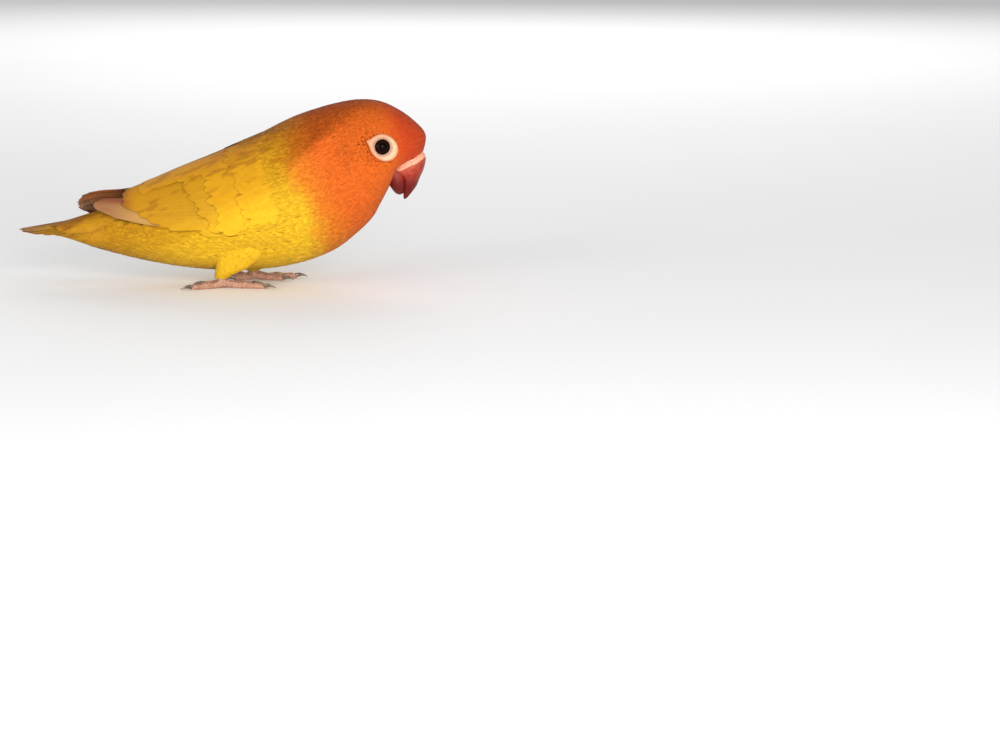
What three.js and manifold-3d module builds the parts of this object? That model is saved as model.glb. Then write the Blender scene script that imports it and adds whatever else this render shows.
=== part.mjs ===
// A yellow lovebird with an orange head and white eye rings, crouched on both feet, at life size.
// Millimetres. The bill points along +X, the bird's left is +Y, and the floor is z = 0.

import * as THREE from "three";
import { mergeVertices } from "three/addons/utils/BufferGeometryUtils.js";
import Module from "manifold-3d";

const wasm = await Module();
wasm.setup();

// Driving dimensions
const GAP = 0.3; // air between solids that touch
const VANE = 0.55; // thickness of a feather
const EYE_RADIUS = 3.6;
const EYE_DEPTH = 2.6; // the eye's centre, below the eye ring
const EYE_OPENING = 2.6; // radius between the lids
const RING_RADIUS = 4.85; // bare skin round the eye
const RING_SHIFT = [0.5, -0.3]; // the ring's middle from the eye's: forward and up
const CERE_LENGTH = 1.3;
const TOE_RADIUS = 1.15;
const CLAW_LENGTH = 4.4;
const FOOT_SPREAD = 9.5; // each foot, from the middle plane

// Cross-sections of the body, from the ends of the tail coverts to the base of the bill. Each stands on the
// line from the belly's outline to the back's. The wing lies lift above the back and spread outside the
// flank, between two angles counted from the back.
const SECTIONS = [
  { back: [-60, 20.2], belly: [-60, 17.0], half: 4.2, lift: 5.2, spread: 0.6, top: 3, low: 52 },
  { back: [-52, 22.7], belly: [-52, 14.8], half: 5.6, lift: 6.0, spread: 1.0, top: 3, low: 66 },
  { back: [-43, 25.6], belly: [-43, 12.3], half: 7.2, lift: 6.0, spread: 2.0, top: 3, low: 60 },
  { back: [-34, 28.6], belly: [-34, 9.9], half: 9.8, lift: 4.6, spread: 2.8, top: 3, low: 72 },
  { back: [-25, 32.9], belly: [-23, 7.5], half: 12.8, lift: 3.6, spread: 2.8, top: 3, low: 86 },
  { back: [-14, 38.2], belly: [-11, 5.7], half: 15.2, lift: 3.0, spread: 3.1, top: 3, low: 97 },
  { back: [-3, 43.4], belly: [2, 4.9], half: 16.6, lift: 2.2, spread: 3.4, top: 5, low: 106 },
  { back: [7, 48.8], belly: [16, 5.5], half: 17.2, lift: 1.2, spread: 3.3, top: 11, low: 109 },
  { back: [16, 53.8], belly: [28.5, 7.9], half: 17.6, lift: 0.7, spread: 2.8, top: 21, low: 107 },
  { back: [25, 58.2], belly: [39, 12.2], half: 17.9, lift: 0.3, spread: 1.7, top: 34, low: 100 },
  { back: [33, 61.0], belly: [46.5, 17.9], half: 16.0, lift: 0, spread: 0.8, top: 50, low: 90 },
  { back: [40, 62.9], belly: [51.8, 23.2], half: 14.3, lift: 0, spread: 0, top: 60, low: 80 },
  { back: [47, 64.0], belly: [54.5, 28.0], half: 13.3, lift: 0, spread: 0, top: 60, low: 80 },
  { back: [54, 63.5], belly: [56.4, 31.6], half: 12.8, lift: 0, spread: 0, top: 60, low: 80 },
  { back: [60.2, 60.9], belly: [57.8, 34.4], half: 11.7, lift: 0, spread: 0, top: 60, low: 80 },
  { back: [65.8, 56.8], belly: [58.7, 36.8], half: 9.9, lift: 0, spread: 0, top: 60, low: 80 },
  { back: [69.5, 51.9], belly: [59.2, 38.6], half: 7.6, lift: 0, spread: 0, top: 60, low: 80 },
  { back: [69.3, 45.4], belly: [59.5, 40.2], half: 5.4, lift: 0, spread: 0, top: 60, low: 80 },
];
const WIDEST = 0.5; // height of the widest point of a section, from the belly to the back
const LAST = SECTIONS.length - 1;
const TORSO_FROM = 2.8; // stations, as indices of SECTIONS
const NECK_FROM = 9.4;
const HEAD_FROM = 11.3;
const CUT = 0.03; // half of the gap at a cut, in stations
const AROUND = 32; // corners of a section

const mix = (a, b, t) => a + (b - a) * t;

const line = (pick) =>
  new THREE.CatmullRomCurve3(
    SECTIONS.map((s) => new THREE.Vector3(...pick(s))),
    false,
    "catmullrom",
  );
const backLine = line((s) => [s.back[0], 0, s.back[1]]);
const bellyLine = line((s) => [s.belly[0], 0, s.belly[1]]);
const widthLine = line((s) => [s.half, s.lift, s.spread]);
const wingLine = line((s) => [s.top, s.low, 0]);

// A point of the body at a station and an angle from the back, positive to the left, raised by height.
// wing is 0 on the body itself and 1 on the outer face of the folded wing.
function bodyPoint(station, angle, height = 0, wing = 0) {
  const t = station / LAST;
  const back = backLine.getPoint(t);
  const belly = bellyLine.getPoint(t);
  const widths = widthLine.getPoint(t);
  const up = back.clone().sub(belly);
  const depth = up.length();
  up.normalize();
  const rise = (1 - WIDEST) * depth + wing * widths.y;
  const drop = WIDEST * depth;
  const half = widths.x + wing * widths.z;
  const c = Math.cos(angle);
  const s = Math.sin(angle);
  const tall = c > 0 ? rise : drop;
  const side = new THREE.Vector3(0, 1, 0);
  const normal = up.clone().multiplyScalar(c / tall).addScaledVector(side, s / half).normalize();
  return belly
    .addScaledVector(up, drop + tall * c)
    .addScaledVector(side, half * s)
    .addScaledVector(normal, height);
}

// The station whose section is centred at x.
function stationAt(x) {
  let low = 0;
  let high = LAST;
  for (let i = 0; i < 30; i++) {
    const middle = (low + high) / 2;
    const centre = (backLine.getPoint(middle / LAST).x + bellyLine.getPoint(middle / LAST).x) / 2;
    if (centre < x) low = middle;
    else high = middle;
  }
  return low;
}

// A point of the folded wing: across runs from 0 at its upper edge to 1 at its lower edge. height counts
// from the wing's outer face, or with under from the body below it.
function wingPoint(side, station, across, height, under = false) {
  const edges = wingLine.getPoint(station / LAST);
  const angle = side * THREE.MathUtils.degToRad(mix(edges.x, edges.y, across));
  return bodyPoint(station, angle, height, under ? 0 : 1);
}

// Solids

function toSolid(geometry) {
  geometry.deleteAttribute("normal");
  geometry.deleteAttribute("uv");
  const merged = mergeVertices(geometry, 1e-4);
  const triVerts = new Uint32Array(merged.index.array);
  const build = () =>
    new wasm.Manifold(
      new wasm.Mesh({ numProp: 3, vertProperties: merged.attributes.position.array, triVerts }),
    );
  const solid = build();
  if (solid.volume() > 0) return solid;
  for (let i = 0; i < triVerts.length; i += 3)
    [triVerts[i + 1], triVerts[i + 2]] = [triVerts[i + 2], triVerts[i + 1]];
  return build();
}

function toGeometry(solid) {
  const mesh = solid.getMesh();
  const geometry = new THREE.BufferGeometry();
  geometry.setAttribute("position", new THREE.BufferAttribute(mesh.vertProperties, 3));
  geometry.setIndex(new THREE.BufferAttribute(mesh.triVerts, 1));
  geometry.computeVertexNormals();
  return geometry;
}

// The union of solids, without any loose scrap.
function fuse(solids) {
  const pieces = wasm.Manifold.union(solids).decompose();
  return pieces.reduce((a, b) => (a.volume() > b.volume() ? a : b));
}

function indexed(points, faces) {
  const geometry = new THREE.BufferGeometry().setFromPoints(points);
  geometry.setIndex(faces);
  return geometry;
}

// A closed tube through rings of points that have the same number of corners, with a fan over each end.
function skinned(rings) {
  const corners = rings[0].length;
  const points = rings.flat();
  const faces = [];
  for (let i = 0; i + 1 < rings.length; i++)
    for (let j = 0; j < corners; j++) {
      const a = i * corners + j;
      const b = i * corners + ((j + 1) % corners);
      faces.push(a, b, a + corners, b, b + corners, a + corners);
    }
  for (const [ring, first] of [[rings[0], 0], [rings.at(-1), points.length - corners]]) {
    const middle = points.length;
    points.push(ring.reduce((sum, p) => sum.add(p), new THREE.Vector3()).divideScalar(corners));
    for (let j = 0; j < corners; j++) {
      const pair = [first + j, first + ((j + 1) % corners)];
      if (first === 0) pair.reverse();
      faces.push(...pair, middle);
    }
  }
  return toSolid(indexed(points, faces));
}

// The part of the body between two stations.
function bodySlice(from, to, rings, height = 0, around = AROUND) {
  return skinned(
    Array.from({ length: rings + 1 }, (_, i) => {
      const station = mix(from, to, i / rings);
      return Array.from({ length: around }, (_, j) =>
        bodyPoint(station, (2 * Math.PI * j) / around, height),
      );
    }),
  );
}

// A plate of even thickness over a grid of places: place(i / rows, j / columns, depth) gives its points.
// Both faces are split alike.
function plate(place, rows, columns, depths) {
  const wide = columns + 1;
  const layer = (rows + 1) * wide;
  const points = [];
  for (const depth of depths)
    for (let i = 0; i <= rows; i++)
      for (let j = 0; j <= columns; j++) points.push(place(i / rows, j / columns, depth));
  const faces = [];
  const quad = (a, b, c, d) => faces.push(a, b, c, b, d, c);
  for (let i = 0; i < rows; i++)
    for (let j = 0; j < columns; j++) {
      const a = i * wide + j;
      quad(a, a + 1, a + wide, a + wide + 1);
      faces.push(a + layer, a + wide + layer, a + 1 + layer);
      faces.push(a + 1 + layer, a + wide + layer, a + wide + 1 + layer);
    }
  const rim = [];
  for (let j = 0; j < columns; j++) rim.push(j);
  for (let i = 0; i < rows; i++) rim.push(i * wide + columns);
  for (let j = columns; j > 0; j--) rim.push(rows * wide + j);
  for (let i = rows; i > 0; i--) rim.push(i * wide);
  rim.forEach((a, k) => {
    const b = rim[(k + 1) % rim.length];
    quad(b, a, b + layer, a + layer);
  });
  return toSolid(indexed(points, faces));
}

// Feathers

// A feather's half width along its length, as a share of the widest place.
const QUILL = { stops: [0, 0.45, 0.82, 0.95, 1], shares: [0.7, 1, 0.86, 0.52, 0.18] };
const COVERT = { stops: [0, 0.7, 0.92, 1], shares: [0.8, 1, 0.66, 0.2] };

// A vane that follows a surface from root to tip, each [along, across]. span gives the millimetres in one
// unit of across. Its edge towards +across is raised by tilt, so that it lies on the next feather. No part
// of it is below the height that lowest gives.
function feather(surface, span, shape, { root, tip, width, heights, tilt = 0, lowest = () => -Infinity }) {
  const rows = shape.stops.length - 1;
  const place = (row, column, depth) => {
    const k = Math.round(row * rows);
    const t = shape.stops[k];
    const along = mix(root[0], tip[0], t);
    const side = 2 * column - 1;
    const across = mix(root[1], tip[1], t) + (side * shape.shares[k] * width) / 2 / span(along);
    const height = mix(heights[0], heights[1], t) + tilt * side * shape.shares[k];
    return surface(along, across, Math.max(height, lowest(along, across) + VANE) - depth);
  };
  return plate(place, rows, 1, [0, VANE]);
}

// Rows of feathers on the folded wing. lowest and highest give the root's x, the root's place across the
// wing, the tip's x and the tip's place, for the lowest and the highest feather of the row. reach lengthens
// single feathers. heights are the root's and the tip's, from the wing's outer face.
const PRIMARIES = {
  shape: QUILL,
  count: 7,
  lowest: [-13, 0.9, -41, 0.8],
  highest: [-18, 0.5, -38, 0.12],
  reach: [6, 8.8, 10, 10.3, 9.8, 8, 5.5],
  width: 3.6,
  heights: [-1.5, -0.7],
  tilt: 0.2,
};
const SECONDARIES = {
  shape: QUILL,
  count: 8,
  lowest: [-2, 0.85, -19, 0.87],
  highest: [-8, 0.08, -33, 0.09],
  width: 5.6,
  heights: [-1.6, -0.25],
  tilt: 0.25,
};
const PRIMARY_COVERTS = {
  shape: COVERT,
  count: 3,
  lowest: [5, 0.96, -6, 0.97],
  highest: [1, 0.86, -9, 0.88],
  width: 4.2,
  heights: [-1.8, -0.7],
  tilt: 0.15,
};
const GREATER_COVERTS = {
  shape: COVERT,
  count: 6,
  lowest: [9, 0.85, -3, 0.86],
  highest: [-2, 0.09, -14, 0.09],
  width: 7,
  heights: [-1.7, -0.1],
  tilt: 0.2,
};
const MEDIAN_COVERTS = {
  shape: COVERT,
  count: 5,
  lowest: [16, 0.87, 5, 0.88],
  highest: [8, 0.11, -4, 0.11],
  width: 8.4,
  heights: [-1.5, 0.1],
  tilt: 0.2,
};
const WING_ROWS = [PRIMARIES, SECONDARIES, PRIMARY_COVERTS, GREATER_COVERTS, MEDIAN_COVERTS];

// The wing's flesh, in stations and across the wing. It lies sunk below the vanes and rises over the
// shoulder, from the line of x that goes from rise[0] at the upper edge to rise[1] at the lower one. Its
// edges draw in towards the bend at the front.
const CORE = { from: 4.5, to: 9.3, top: 0.08, low: 0.96, bend: 0.62, sunk: 1.4, rise: [5, 14], ramp: 6 };
const UNDER = 1.5 * GAP; // the wing's inner face above the body

function coreHeight(station, across) {
  const x = bodyPoint(station, Math.PI / 2).x;
  const start = mix(...CORE.rise, across);
  return -CORE.sunk * (1 - THREE.MathUtils.smoothstep(x, start, start + CORE.ramp));
}

function wing(side, tipShift) {
  const surface = (station, across, height) => wingPoint(side, station, across, height);
  const lowest = (station, across) =>
    UNDER + 0.5 * GAP - surface(station, across, 0).distanceTo(wingPoint(side, station, across, 0, true));
  const span = (station) => {
    const steps = 12;
    let length = 0;
    for (let i = 0; i < steps; i++)
      length += surface(station, i / steps, 0).distanceTo(surface(station, (i + 1) / steps, 0));
    return length;
  };
  const core = plate(
    (row, column, inner) => {
      const station = mix(CORE.from, CORE.to, row);
      const across = mix(mix(CORE.top, CORE.low, column), CORE.bend, 0.6 * row ** 6);
      if (inner) return wingPoint(side, station, across, UNDER, true);
      return surface(station, across, Math.max(coreHeight(station, across), lowest(station, across) + VANE));
    },
    8,
    4,
    [0, 1],
  );
  const vanes = WING_ROWS.flatMap((row) =>
    Array.from({ length: row.count }, (_, k) => {
      const t = k / (row.count - 1);
      const [rootX, rootAcross, tipX, tipAcross] = row.lowest.map((v, i) => mix(v, row.highest[i], t));
      const reach = row.reach ? row.reach[k] - tipShift : 0;
      return feather(surface, span, row.shape, {
        ...row,
        root: [stationAt(rootX), rootAcross],
        tip: [stationAt(tipX - reach), tipAcross],
        lowest,
      });
    }),
  );
  return fuse([core, ...vanes]);
}

// Tail

const TAIL = { root: -36.4, tip: -70.6, pairs: 6, width: 7.4, step: 0.42, roof: 0.32 };
const STACK = TAIL.step * TAIL.pairs + VANE; // height of the folded tail
const TAIL_SLOT = { root: 5.4, end: 12 }; // half the room that the coverts leave for it

// A point of the folded tail's roof-shaped upper face, at x and y.
function tailPoint(x, y, height) {
  const ridge = 22.1 + 0.2 * (x + 52);
  return new THREE.Vector3(x, y, ridge - TAIL.roof * (Math.hypot(y, 1) - 1) + height);
}

function tail() {
  const feathers = [];
  for (let k = 0; k < TAIL.pairs; k++)
    for (const side of [1, -1])
      feathers.push(
        feather(tailPoint, () => 1, QUILL, {
          root: [TAIL.root, side * (0.7 + 0.3 * k)],
          tip: [TAIL.tip + 0.6 * k * (k + 1), side * (0.7 + 1.0 * k)],
          width: TAIL.width,
          heights: [-k * TAIL.step, -k * TAIL.step - (side > 0 ? 0 : 0.2)],
        }),
      );
  const root = plate(
    (row, column, depth) => tailPoint(TAIL.root - 8 * row, 5 * (2 * column - 1), -0.1 - depth),
    2,
    4,
    [0, STACK - 0.2],
  );
  return fuse([root, ...feathers]);
}

// Rows of tail coverts, on the body's own surface: the x of roots and tips, and the angle from the back at
// which the outermost feather lies.
const UPPER_COVERTS = [
  { count: 4, root: -39, tip: -55, spread: 54, width: 5.6 },
  { count: 4, root: -37, tip: -47.5, spread: 62, width: 7.2 },
];
const UNDER_COVERTS = [
  { count: 3, root: -47, tip: -62, spread: 40, width: 6 },
  { count: 4, root: -41, tip: -53.5, spread: 54, width: 7 },
  { count: 5, root: -37, tip: -45.5, spread: 62, width: 7.6 },
];

// The coverts above or below the tail feathers, cut clear of them.
function tailCoverts(rows, middle) {
  const surface = (station, degrees, height) =>
    bodyPoint(station, THREE.MathUtils.degToRad(middle + degrees), height);
  const span = (station) => surface(station, 0, 0).distanceTo(surface(station, 10, 0)) / 10;
  const vanes = rows.flatMap(({ count, root, tip, spread, width }) =>
    Array.from({ length: count }, (_, k) => {
      const across = mix(-spread, spread, k / (count - 1));
      const end = tip + 3 * Math.abs(across / spread) ** 2;
      return feather(surface, span, COVERT, {
        root: [stationAt(root), across],
        tip: [stationAt(end), across * 0.8],
        width,
        heights: [-0.8, 0.4],
      });
    }),
  );
  const slot = plate(
    (row, column, depth) => {
      const half = mix(TAIL_SLOT.root, TAIL_SLOT.end, row);
      return tailPoint(mix(TAIL.root + 5, TAIL.tip, row), half * (2 * column - 1), GAP - depth);
    },
    1,
    6,
    [0, STACK + 2 * GAP],
  );
  const split = plate(
    (row, column, depth) => tailPoint(mix(-20, -90, row), 16 * (2 * column - 1), -STACK / 2 - depth),
    1,
    8,
    [0, GAP],
  );
  const sheath = bodySlice(0, TORSO_FROM - CUT, 5, 0, AROUND / 2);
  const pieces = fuse([sheath, ...vanes]).subtract(slot).subtract(split).decompose();
  const height = (solid) => {
    const { min, max } = solid.boundingBox();
    return min[2] + max[2];
  };
  const large = pieces.filter((piece) => piece.volume() > 50);
  large.sort((a, b) => height(b) - height(a));
  return middle === 0 ? large[0] : large.at(-1);
}

// Head

const EYE_STATION = 13.1;
const EYE_ANGLE = THREE.MathUtils.degToRad(85.9);
const EYE_FORWARD = THREE.MathUtils.degToRad(10); // how far the eye looks towards the bill
const EYE_UP = THREE.MathUtils.degToRad(4);

const CHEEK_CURVE = [34, 20]; // radii of the head's side along and down
const CORNER_ANGLE = THREE.MathUtils.degToRad(157); // of the ring's corner, from the bill's way
const CORNER_LENGTH = 1.3;

// A frame whose origin is in the middle of the eye and whose +Z looks out of it.
function eyeFrame(side) {
  const out = new THREE.Vector3(
    Math.sin(EYE_FORWARD) * Math.cos(EYE_UP),
    side * Math.cos(EYE_FORWARD) * Math.cos(EYE_UP),
    Math.sin(EYE_UP),
  );
  const up = new THREE.Vector3(0, 0, 1).addScaledVector(out, -out.z).normalize();
  const across = new THREE.Vector3().crossVectors(up, out);
  const place = bodyPoint(EYE_STATION, side * EYE_ANGLE, -0.2);
  return new THREE.Matrix4().makeBasis(across, up, out).setPosition(place);
}

// A ring round the eye through [share, height] pairs: share runs from the lids to the outline, which has a
// corner behind the eye, and height counts from the head's curved side.
function eyeRing(side, profile, corners = 24) {
  const frame = eyeFrame(side);
  const forward = -side;
  return profile.map(([share, height]) =>
    Array.from({ length: corners }, (_, j) => {
      const angle = (2 * Math.PI * j) / corners;
      const rear = Math.max(0, Math.cos(angle - CORNER_ANGLE));
      const outline = RING_RADIUS + CORNER_LENGTH * rear ** 16;
      const u = mix(EYE_OPENING * Math.cos(angle), RING_SHIFT[0] + outline * Math.cos(angle), share);
      const v = mix(EYE_OPENING * Math.sin(angle), RING_SHIFT[1] + outline * Math.sin(angle), share);
      const drop = u ** 2 / (2 * CHEEK_CURVE[0]) + v ** 2 / (2 * CHEEK_CURVE[1]);
      return new THREE.Vector3(forward * u, v, height - drop).applyMatrix4(frame);
    }),
  );
}

// A solid ring through a closed profile.
function turned(rings) {
  const corners = rings[0].length;
  const faces = [];
  rings.forEach((_, i) => {
    for (let j = 0; j < corners; j++) {
      const next = ((i + 1) % rings.length) * corners;
      const a = i * corners + j;
      const b = i * corners + ((j + 1) % corners);
      const c = next + j;
      const d = next + ((j + 1) % corners);
      faces.push(a, b, c, b, d, c);
    }
  });
  return toSolid(indexed(rings.flat(), faces));
}

const LIDS = [
  [0.5, -1.1],
  [0.04, 0.4],
  [0.06, 0.8],
  [0.22, 0.85],
  [0.38, 0.45],
  [0.72, 0.5],
  [0.96, 0.25],
  [1, -0.1],
  [0.94, -1.1],
];
const SOCKET = [
  [1.13, -1.1 - GAP],
  [1.13, 4],
];

function eyeball(side, radius, around = 15) {
  const ball = new THREE.SphereGeometry(radius, around, (2 * around) / 3);
  ball.translate(0, 0, -EYE_DEPTH);
  return toSolid(ball.applyMatrix4(eyeFrame(side)));
}

// A section that stands off the face at the bill's base.
function faceSection(distance, swell = 0) {
  const { back, belly, half } = SECTIONS[LAST];
  const out = new THREE.Vector2(back[1] - belly[1], belly[0] - back[0]).normalize();
  return {
    ridge: [back[0] + out.x * distance + 0.3 * swell, back[1] + out.y * distance + swell],
    edge: [belly[0] + out.x * distance, belly[1] + out.y * distance],
    half: half + swell,
  };
}

// The bill's sections, from the base to the tip: ridge and edge are the outer and the inner line seen from
// the side.
const UPPER_BILL = [
  faceSection(CERE_LENGTH + 2 * GAP),
  { ridge: [70.0, 42.0], edge: [61.9, 37.3], half: 4.8 },
  { ridge: [69.3, 39.5], edge: [62.5, 36.0], half: 4.2 },
  { ridge: [68.1, 36.9], edge: [62.6, 34.5], half: 3.4 },
  { ridge: [67.0, 34.2], edge: [62.5, 32.9], half: 2.5 },
  { ridge: [65.3, 31.8], edge: [62.4, 31.2], half: 1.5 },
  { ridge: [63.6, 29.8], edge: [62.5, 29.7], half: 0.5 },
];
const LOWER_BILL = [
  { ridge: [60.3, 38.2], edge: [57.0, 35.9], half: 4.3 },
  { ridge: [61.6, 36.9], edge: [57.9, 34.0], half: 4.1 },
  { ridge: [62.1, 35.2], edge: [58.8, 32.5], half: 3.6 },
  { ridge: [62.1, 33.6], edge: [59.9, 31.4], half: 2.8 },
  { ridge: [62.0, 32.1], edge: [61.1, 31.0], half: 1.6 },
];

// A ring of the bill: an oval from the inner line to the ridge. It is squarer on the side where the two
// halves meet, the inner one for flat = -1 and the outer one for flat = 1.
function billRing({ ridge, edge, half }, grow = 0, flat = 0, corners = 16) {
  const top = new THREE.Vector3(ridge[0], 0, ridge[1]);
  const bottom = new THREE.Vector3(edge[0], 0, edge[1]);
  const middle = top.clone().add(bottom).divideScalar(2);
  const up = top.clone().sub(bottom);
  const reach = up.length() / 2 + grow;
  up.normalize();
  return Array.from({ length: corners }, (_, j) => {
    const angle = (2 * Math.PI * j) / corners;
    const sine = Math.sin(angle);
    const square = flat * Math.cos(angle) > 0 ? Math.sign(sine) * Math.abs(sine) ** 0.5 : sine;
    return middle
      .clone()
      .addScaledVector(up, reach * Math.cos(angle))
      .add(new THREE.Vector3(0, (half + grow) * square, 0));
  });
}

const upperBill = (grow = 0) => skinned(UPPER_BILL.map((s) => billRing(s, grow, -1)));
const lowerBill = (grow = 0) => skinned(LOWER_BILL.map((s) => billRing(s, grow, 1)));

// The cere: a low collar between the face and the upper bill, with two nostrils.
function cere() {
  const sections = [
    faceSection(GAP),
    faceSection(GAP + 0.3 * CERE_LENGTH, 0.35),
    faceSection(GAP + 0.75 * CERE_LENGTH, 0.35),
    faceSection(GAP + CERE_LENGTH, 0.05),
  ];
  const collar = skinned(sections.map((s) => billRing(s, 0, 0, 24)));
  const [, ring] = sections;
  const nostrils = [1, -1].map((side) => {
    const hole = new THREE.CylinderGeometry(0.42, 0.42, 3, 10);
    hole.rotateX(side * 0.55);
    hole.translate(mix(ring.edge[0], ring.ridge[0], 0.86), side * 3.9, mix(ring.edge[1], ring.ridge[1], 0.98));
    return toSolid(hole);
  });
  return collar.subtract(wasm.Manifold.union(nostrils));
}

function head() {
  const cuts = [1, -1].flatMap((side) => [
    skinned(eyeRing(side, SOCKET)),
    eyeball(side, EYE_RADIUS + GAP, 12),
  ]);
  cuts.push(lowerBill(GAP), upperBill(GAP));
  return bodySlice(HEAD_FROM + CUT, LAST, 12).subtract(wasm.Manifold.union(cuts));
}

// Legs

// Toes, counted from the inner front one outwards: azimuth from the bill's way towards the outer side.
const TOES = [
  { azimuth: -16, length: 10 },
  { azimuth: 12, length: 14.2 },
  { azimuth: 152, length: 12 },
  { azimuth: 200, length: 7.5 },
];
const FLAT = 0.15; // how much of a toe's sole is worn flat on the floor
const ANKLE_HEIGHT = 3.6; // the lower end of the thigh's feathers

// A round of points about a centre, upright and square to a level direction.
function upright(centre, direction, width, height, corners = 8) {
  const side = new THREE.Vector3(-direction.y, direction.x, 0);
  return Array.from({ length: corners }, (_, j) => {
    const angle = (2 * Math.PI * (j + 0.5)) / corners;
    return centre
      .clone()
      .addScaledVector(side, width * Math.cos(angle))
      .add(new THREE.Vector3(0, 0, height * Math.sin(angle)));
  });
}

const toeDirection = (side, azimuth) => {
  const angle = side * THREE.MathUtils.degToRad(azimuth);
  return new THREE.Vector3(Math.cos(angle), Math.sin(angle), 0);
};

// A tapered toe with a pad under each joint, lying on the floor.
function toe(joint, direction, length) {
  const stops = [-0.06, 0.2, 0.42, 0.6, 0.9, 1];
  const pads = [1.15, 1.15, 0.98, 1.06, 0.88, 0.6];
  return skinned(
    stops.map((t, i) => {
      const radius = TOE_RADIUS * pads[i];
      const lift = 0.4 * Math.max(0, 1 - t / 0.3);
      const centre = joint.clone().addScaledVector(direction, t * length);
      centre.z = radius - FLAT + lift;
      return upright(centre, direction, radius, radius);
    }),
  );
}

function claw(joint, direction, length) {
  return skinned(
    [0, 0.3, 0.6, 0.85, 1].map((t) => {
      const centre = joint.clone().addScaledVector(direction, length + GAP + CLAW_LENGTH * t * 0.92);
      centre.z = 1.05 + 1.1 * t - 1.75 * t * t;
      const radius = 0.75 * (1 - t) + 0.1;
      return upright(centre, direction, radius * 0.8, radius, 7);
    }),
  );
}

function foot(side, joint) {
  const toes = TOES.map(({ azimuth, length }) => toe(joint, toeDirection(side, azimuth), length));
  const shank = skinned(
    [0.5, 1.8, ANKLE_HEIGHT - GAP].map((z, i) => {
      const radius = [1.5, 2, 1.7][i];
      return Array.from({ length: 8 }, (_, j) => {
        const angle = (2 * Math.PI * j) / 8;
        return new THREE.Vector3(
          joint.x - 0.25 * z + radius * Math.cos(angle),
          joint.y + radius * Math.sin(angle),
          z,
        );
      });
    }),
  );
  return fuse([shank, ...toes]).trimByPlane([0, 0, 1], 0);
}

// The feathered thigh: a cone from the flank down to the ankle.
const THIGH = [
  { forward: 9.5, height: 19, half: 2 },
  { forward: 9, height: 17.5, half: 5 },
  { forward: 7, height: 13.5, half: 7 },
  { forward: 4.2, height: 9.8, half: 6.2 },
  { forward: 1.6, height: 6.6, half: 4.4 },
  { forward: 0, height: 4.6, half: 3.2 },
  { forward: -0.6, height: ANKLE_HEIGHT, half: 2.6 },
];

function thigh(side, joint) {
  const rings = THIGH.map(({ forward, height, half }) =>
    Array.from({ length: 16 }, (_, j) => {
      const angle = (2 * Math.PI * j) / 16;
      return new THREE.Vector3(
        joint.x + forward + half * Math.cos(angle),
        side * (FOOT_SPREAD + 0.12 * (height - ANKLE_HEIGHT)) + 0.82 * half * Math.sin(angle),
        height - 0.25 * half * Math.cos(angle) * Math.min(1, (height - ANKLE_HEIGHT) / 4),
      );
    }),
  );
  return skinned(rings).subtract(bodySlice(TORSO_FROM, NECK_FROM, 20, GAP));
}

// Model

const material = (color, roughness, metalness = 0) =>
  new THREE.MeshStandardMaterial({ color, roughness, metalness });
const ORANGE = material(0xf07028, 0.85);
const YELLOW = material(0xf0b82a, 0.85);
const TAIL_BUFF = material(0xd2a04a, 0.8);
const BARE_SKIN = material(0xf6d2b8, 0.6);
const EYE_BLACK = material(0x120806, 0.05);
const BILL_RED = material(0xc84a44, 0.35);
const SCALY_PINK = material(0xc8987c, 0.7);
const CLAW_BROWN = material(0x6a5548, 0.4);

const bird = new THREE.Group();
function add(name, solid, finish) {
  const mesh = new THREE.Mesh(toGeometry(solid), finish);
  mesh.name = name;
  bird.add(mesh);
}

add("torso", bodySlice(TORSO_FROM, NECK_FROM - CUT, 18), YELLOW);
add("neck", bodySlice(NECK_FROM + CUT, HEAD_FROM - CUT, 6), ORANGE);
add("head", head(), ORANGE);
add("cere", cere(), BARE_SKIN);
add("upper_bill", upperBill(), BILL_RED);
add("lower_bill", lowerBill(), BILL_RED);
add("tail", tail(), TAIL_BUFF);
add("upper_tail_coverts", tailCoverts(UPPER_COVERTS, 0), YELLOW);
add("under_tail_coverts", tailCoverts(UNDER_COVERTS, 180), YELLOW);

const SIDES = [
  { name: "left", side: 1, tipShift: 0, jointX: 10.5 },
  { name: "right", side: -1, tipShift: 6, jointX: 0.8 },
];
for (const { name, side, tipShift, jointX } of SIDES) {
  const joint = new THREE.Vector3(jointX, side * FOOT_SPREAD, 0);
  add(`wing_${name}`, wing(side, tipShift), YELLOW);
  add(`eye_${name}`, eyeball(side, EYE_RADIUS), EYE_BLACK);
  add(`eye_ring_${name}`, turned(eyeRing(side, LIDS)), BARE_SKIN);
  add(`thigh_${name}`, thigh(side, joint), YELLOW);
  add(`foot_${name}`, foot(side, joint), SCALY_PINK);
  TOES.forEach(({ azimuth, length }, k) =>
    add(`claw_${name}_${k + 1}`, claw(joint, toeDirection(side, azimuth), length), CLAW_BROWN),
  );
}

export default bird;
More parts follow.
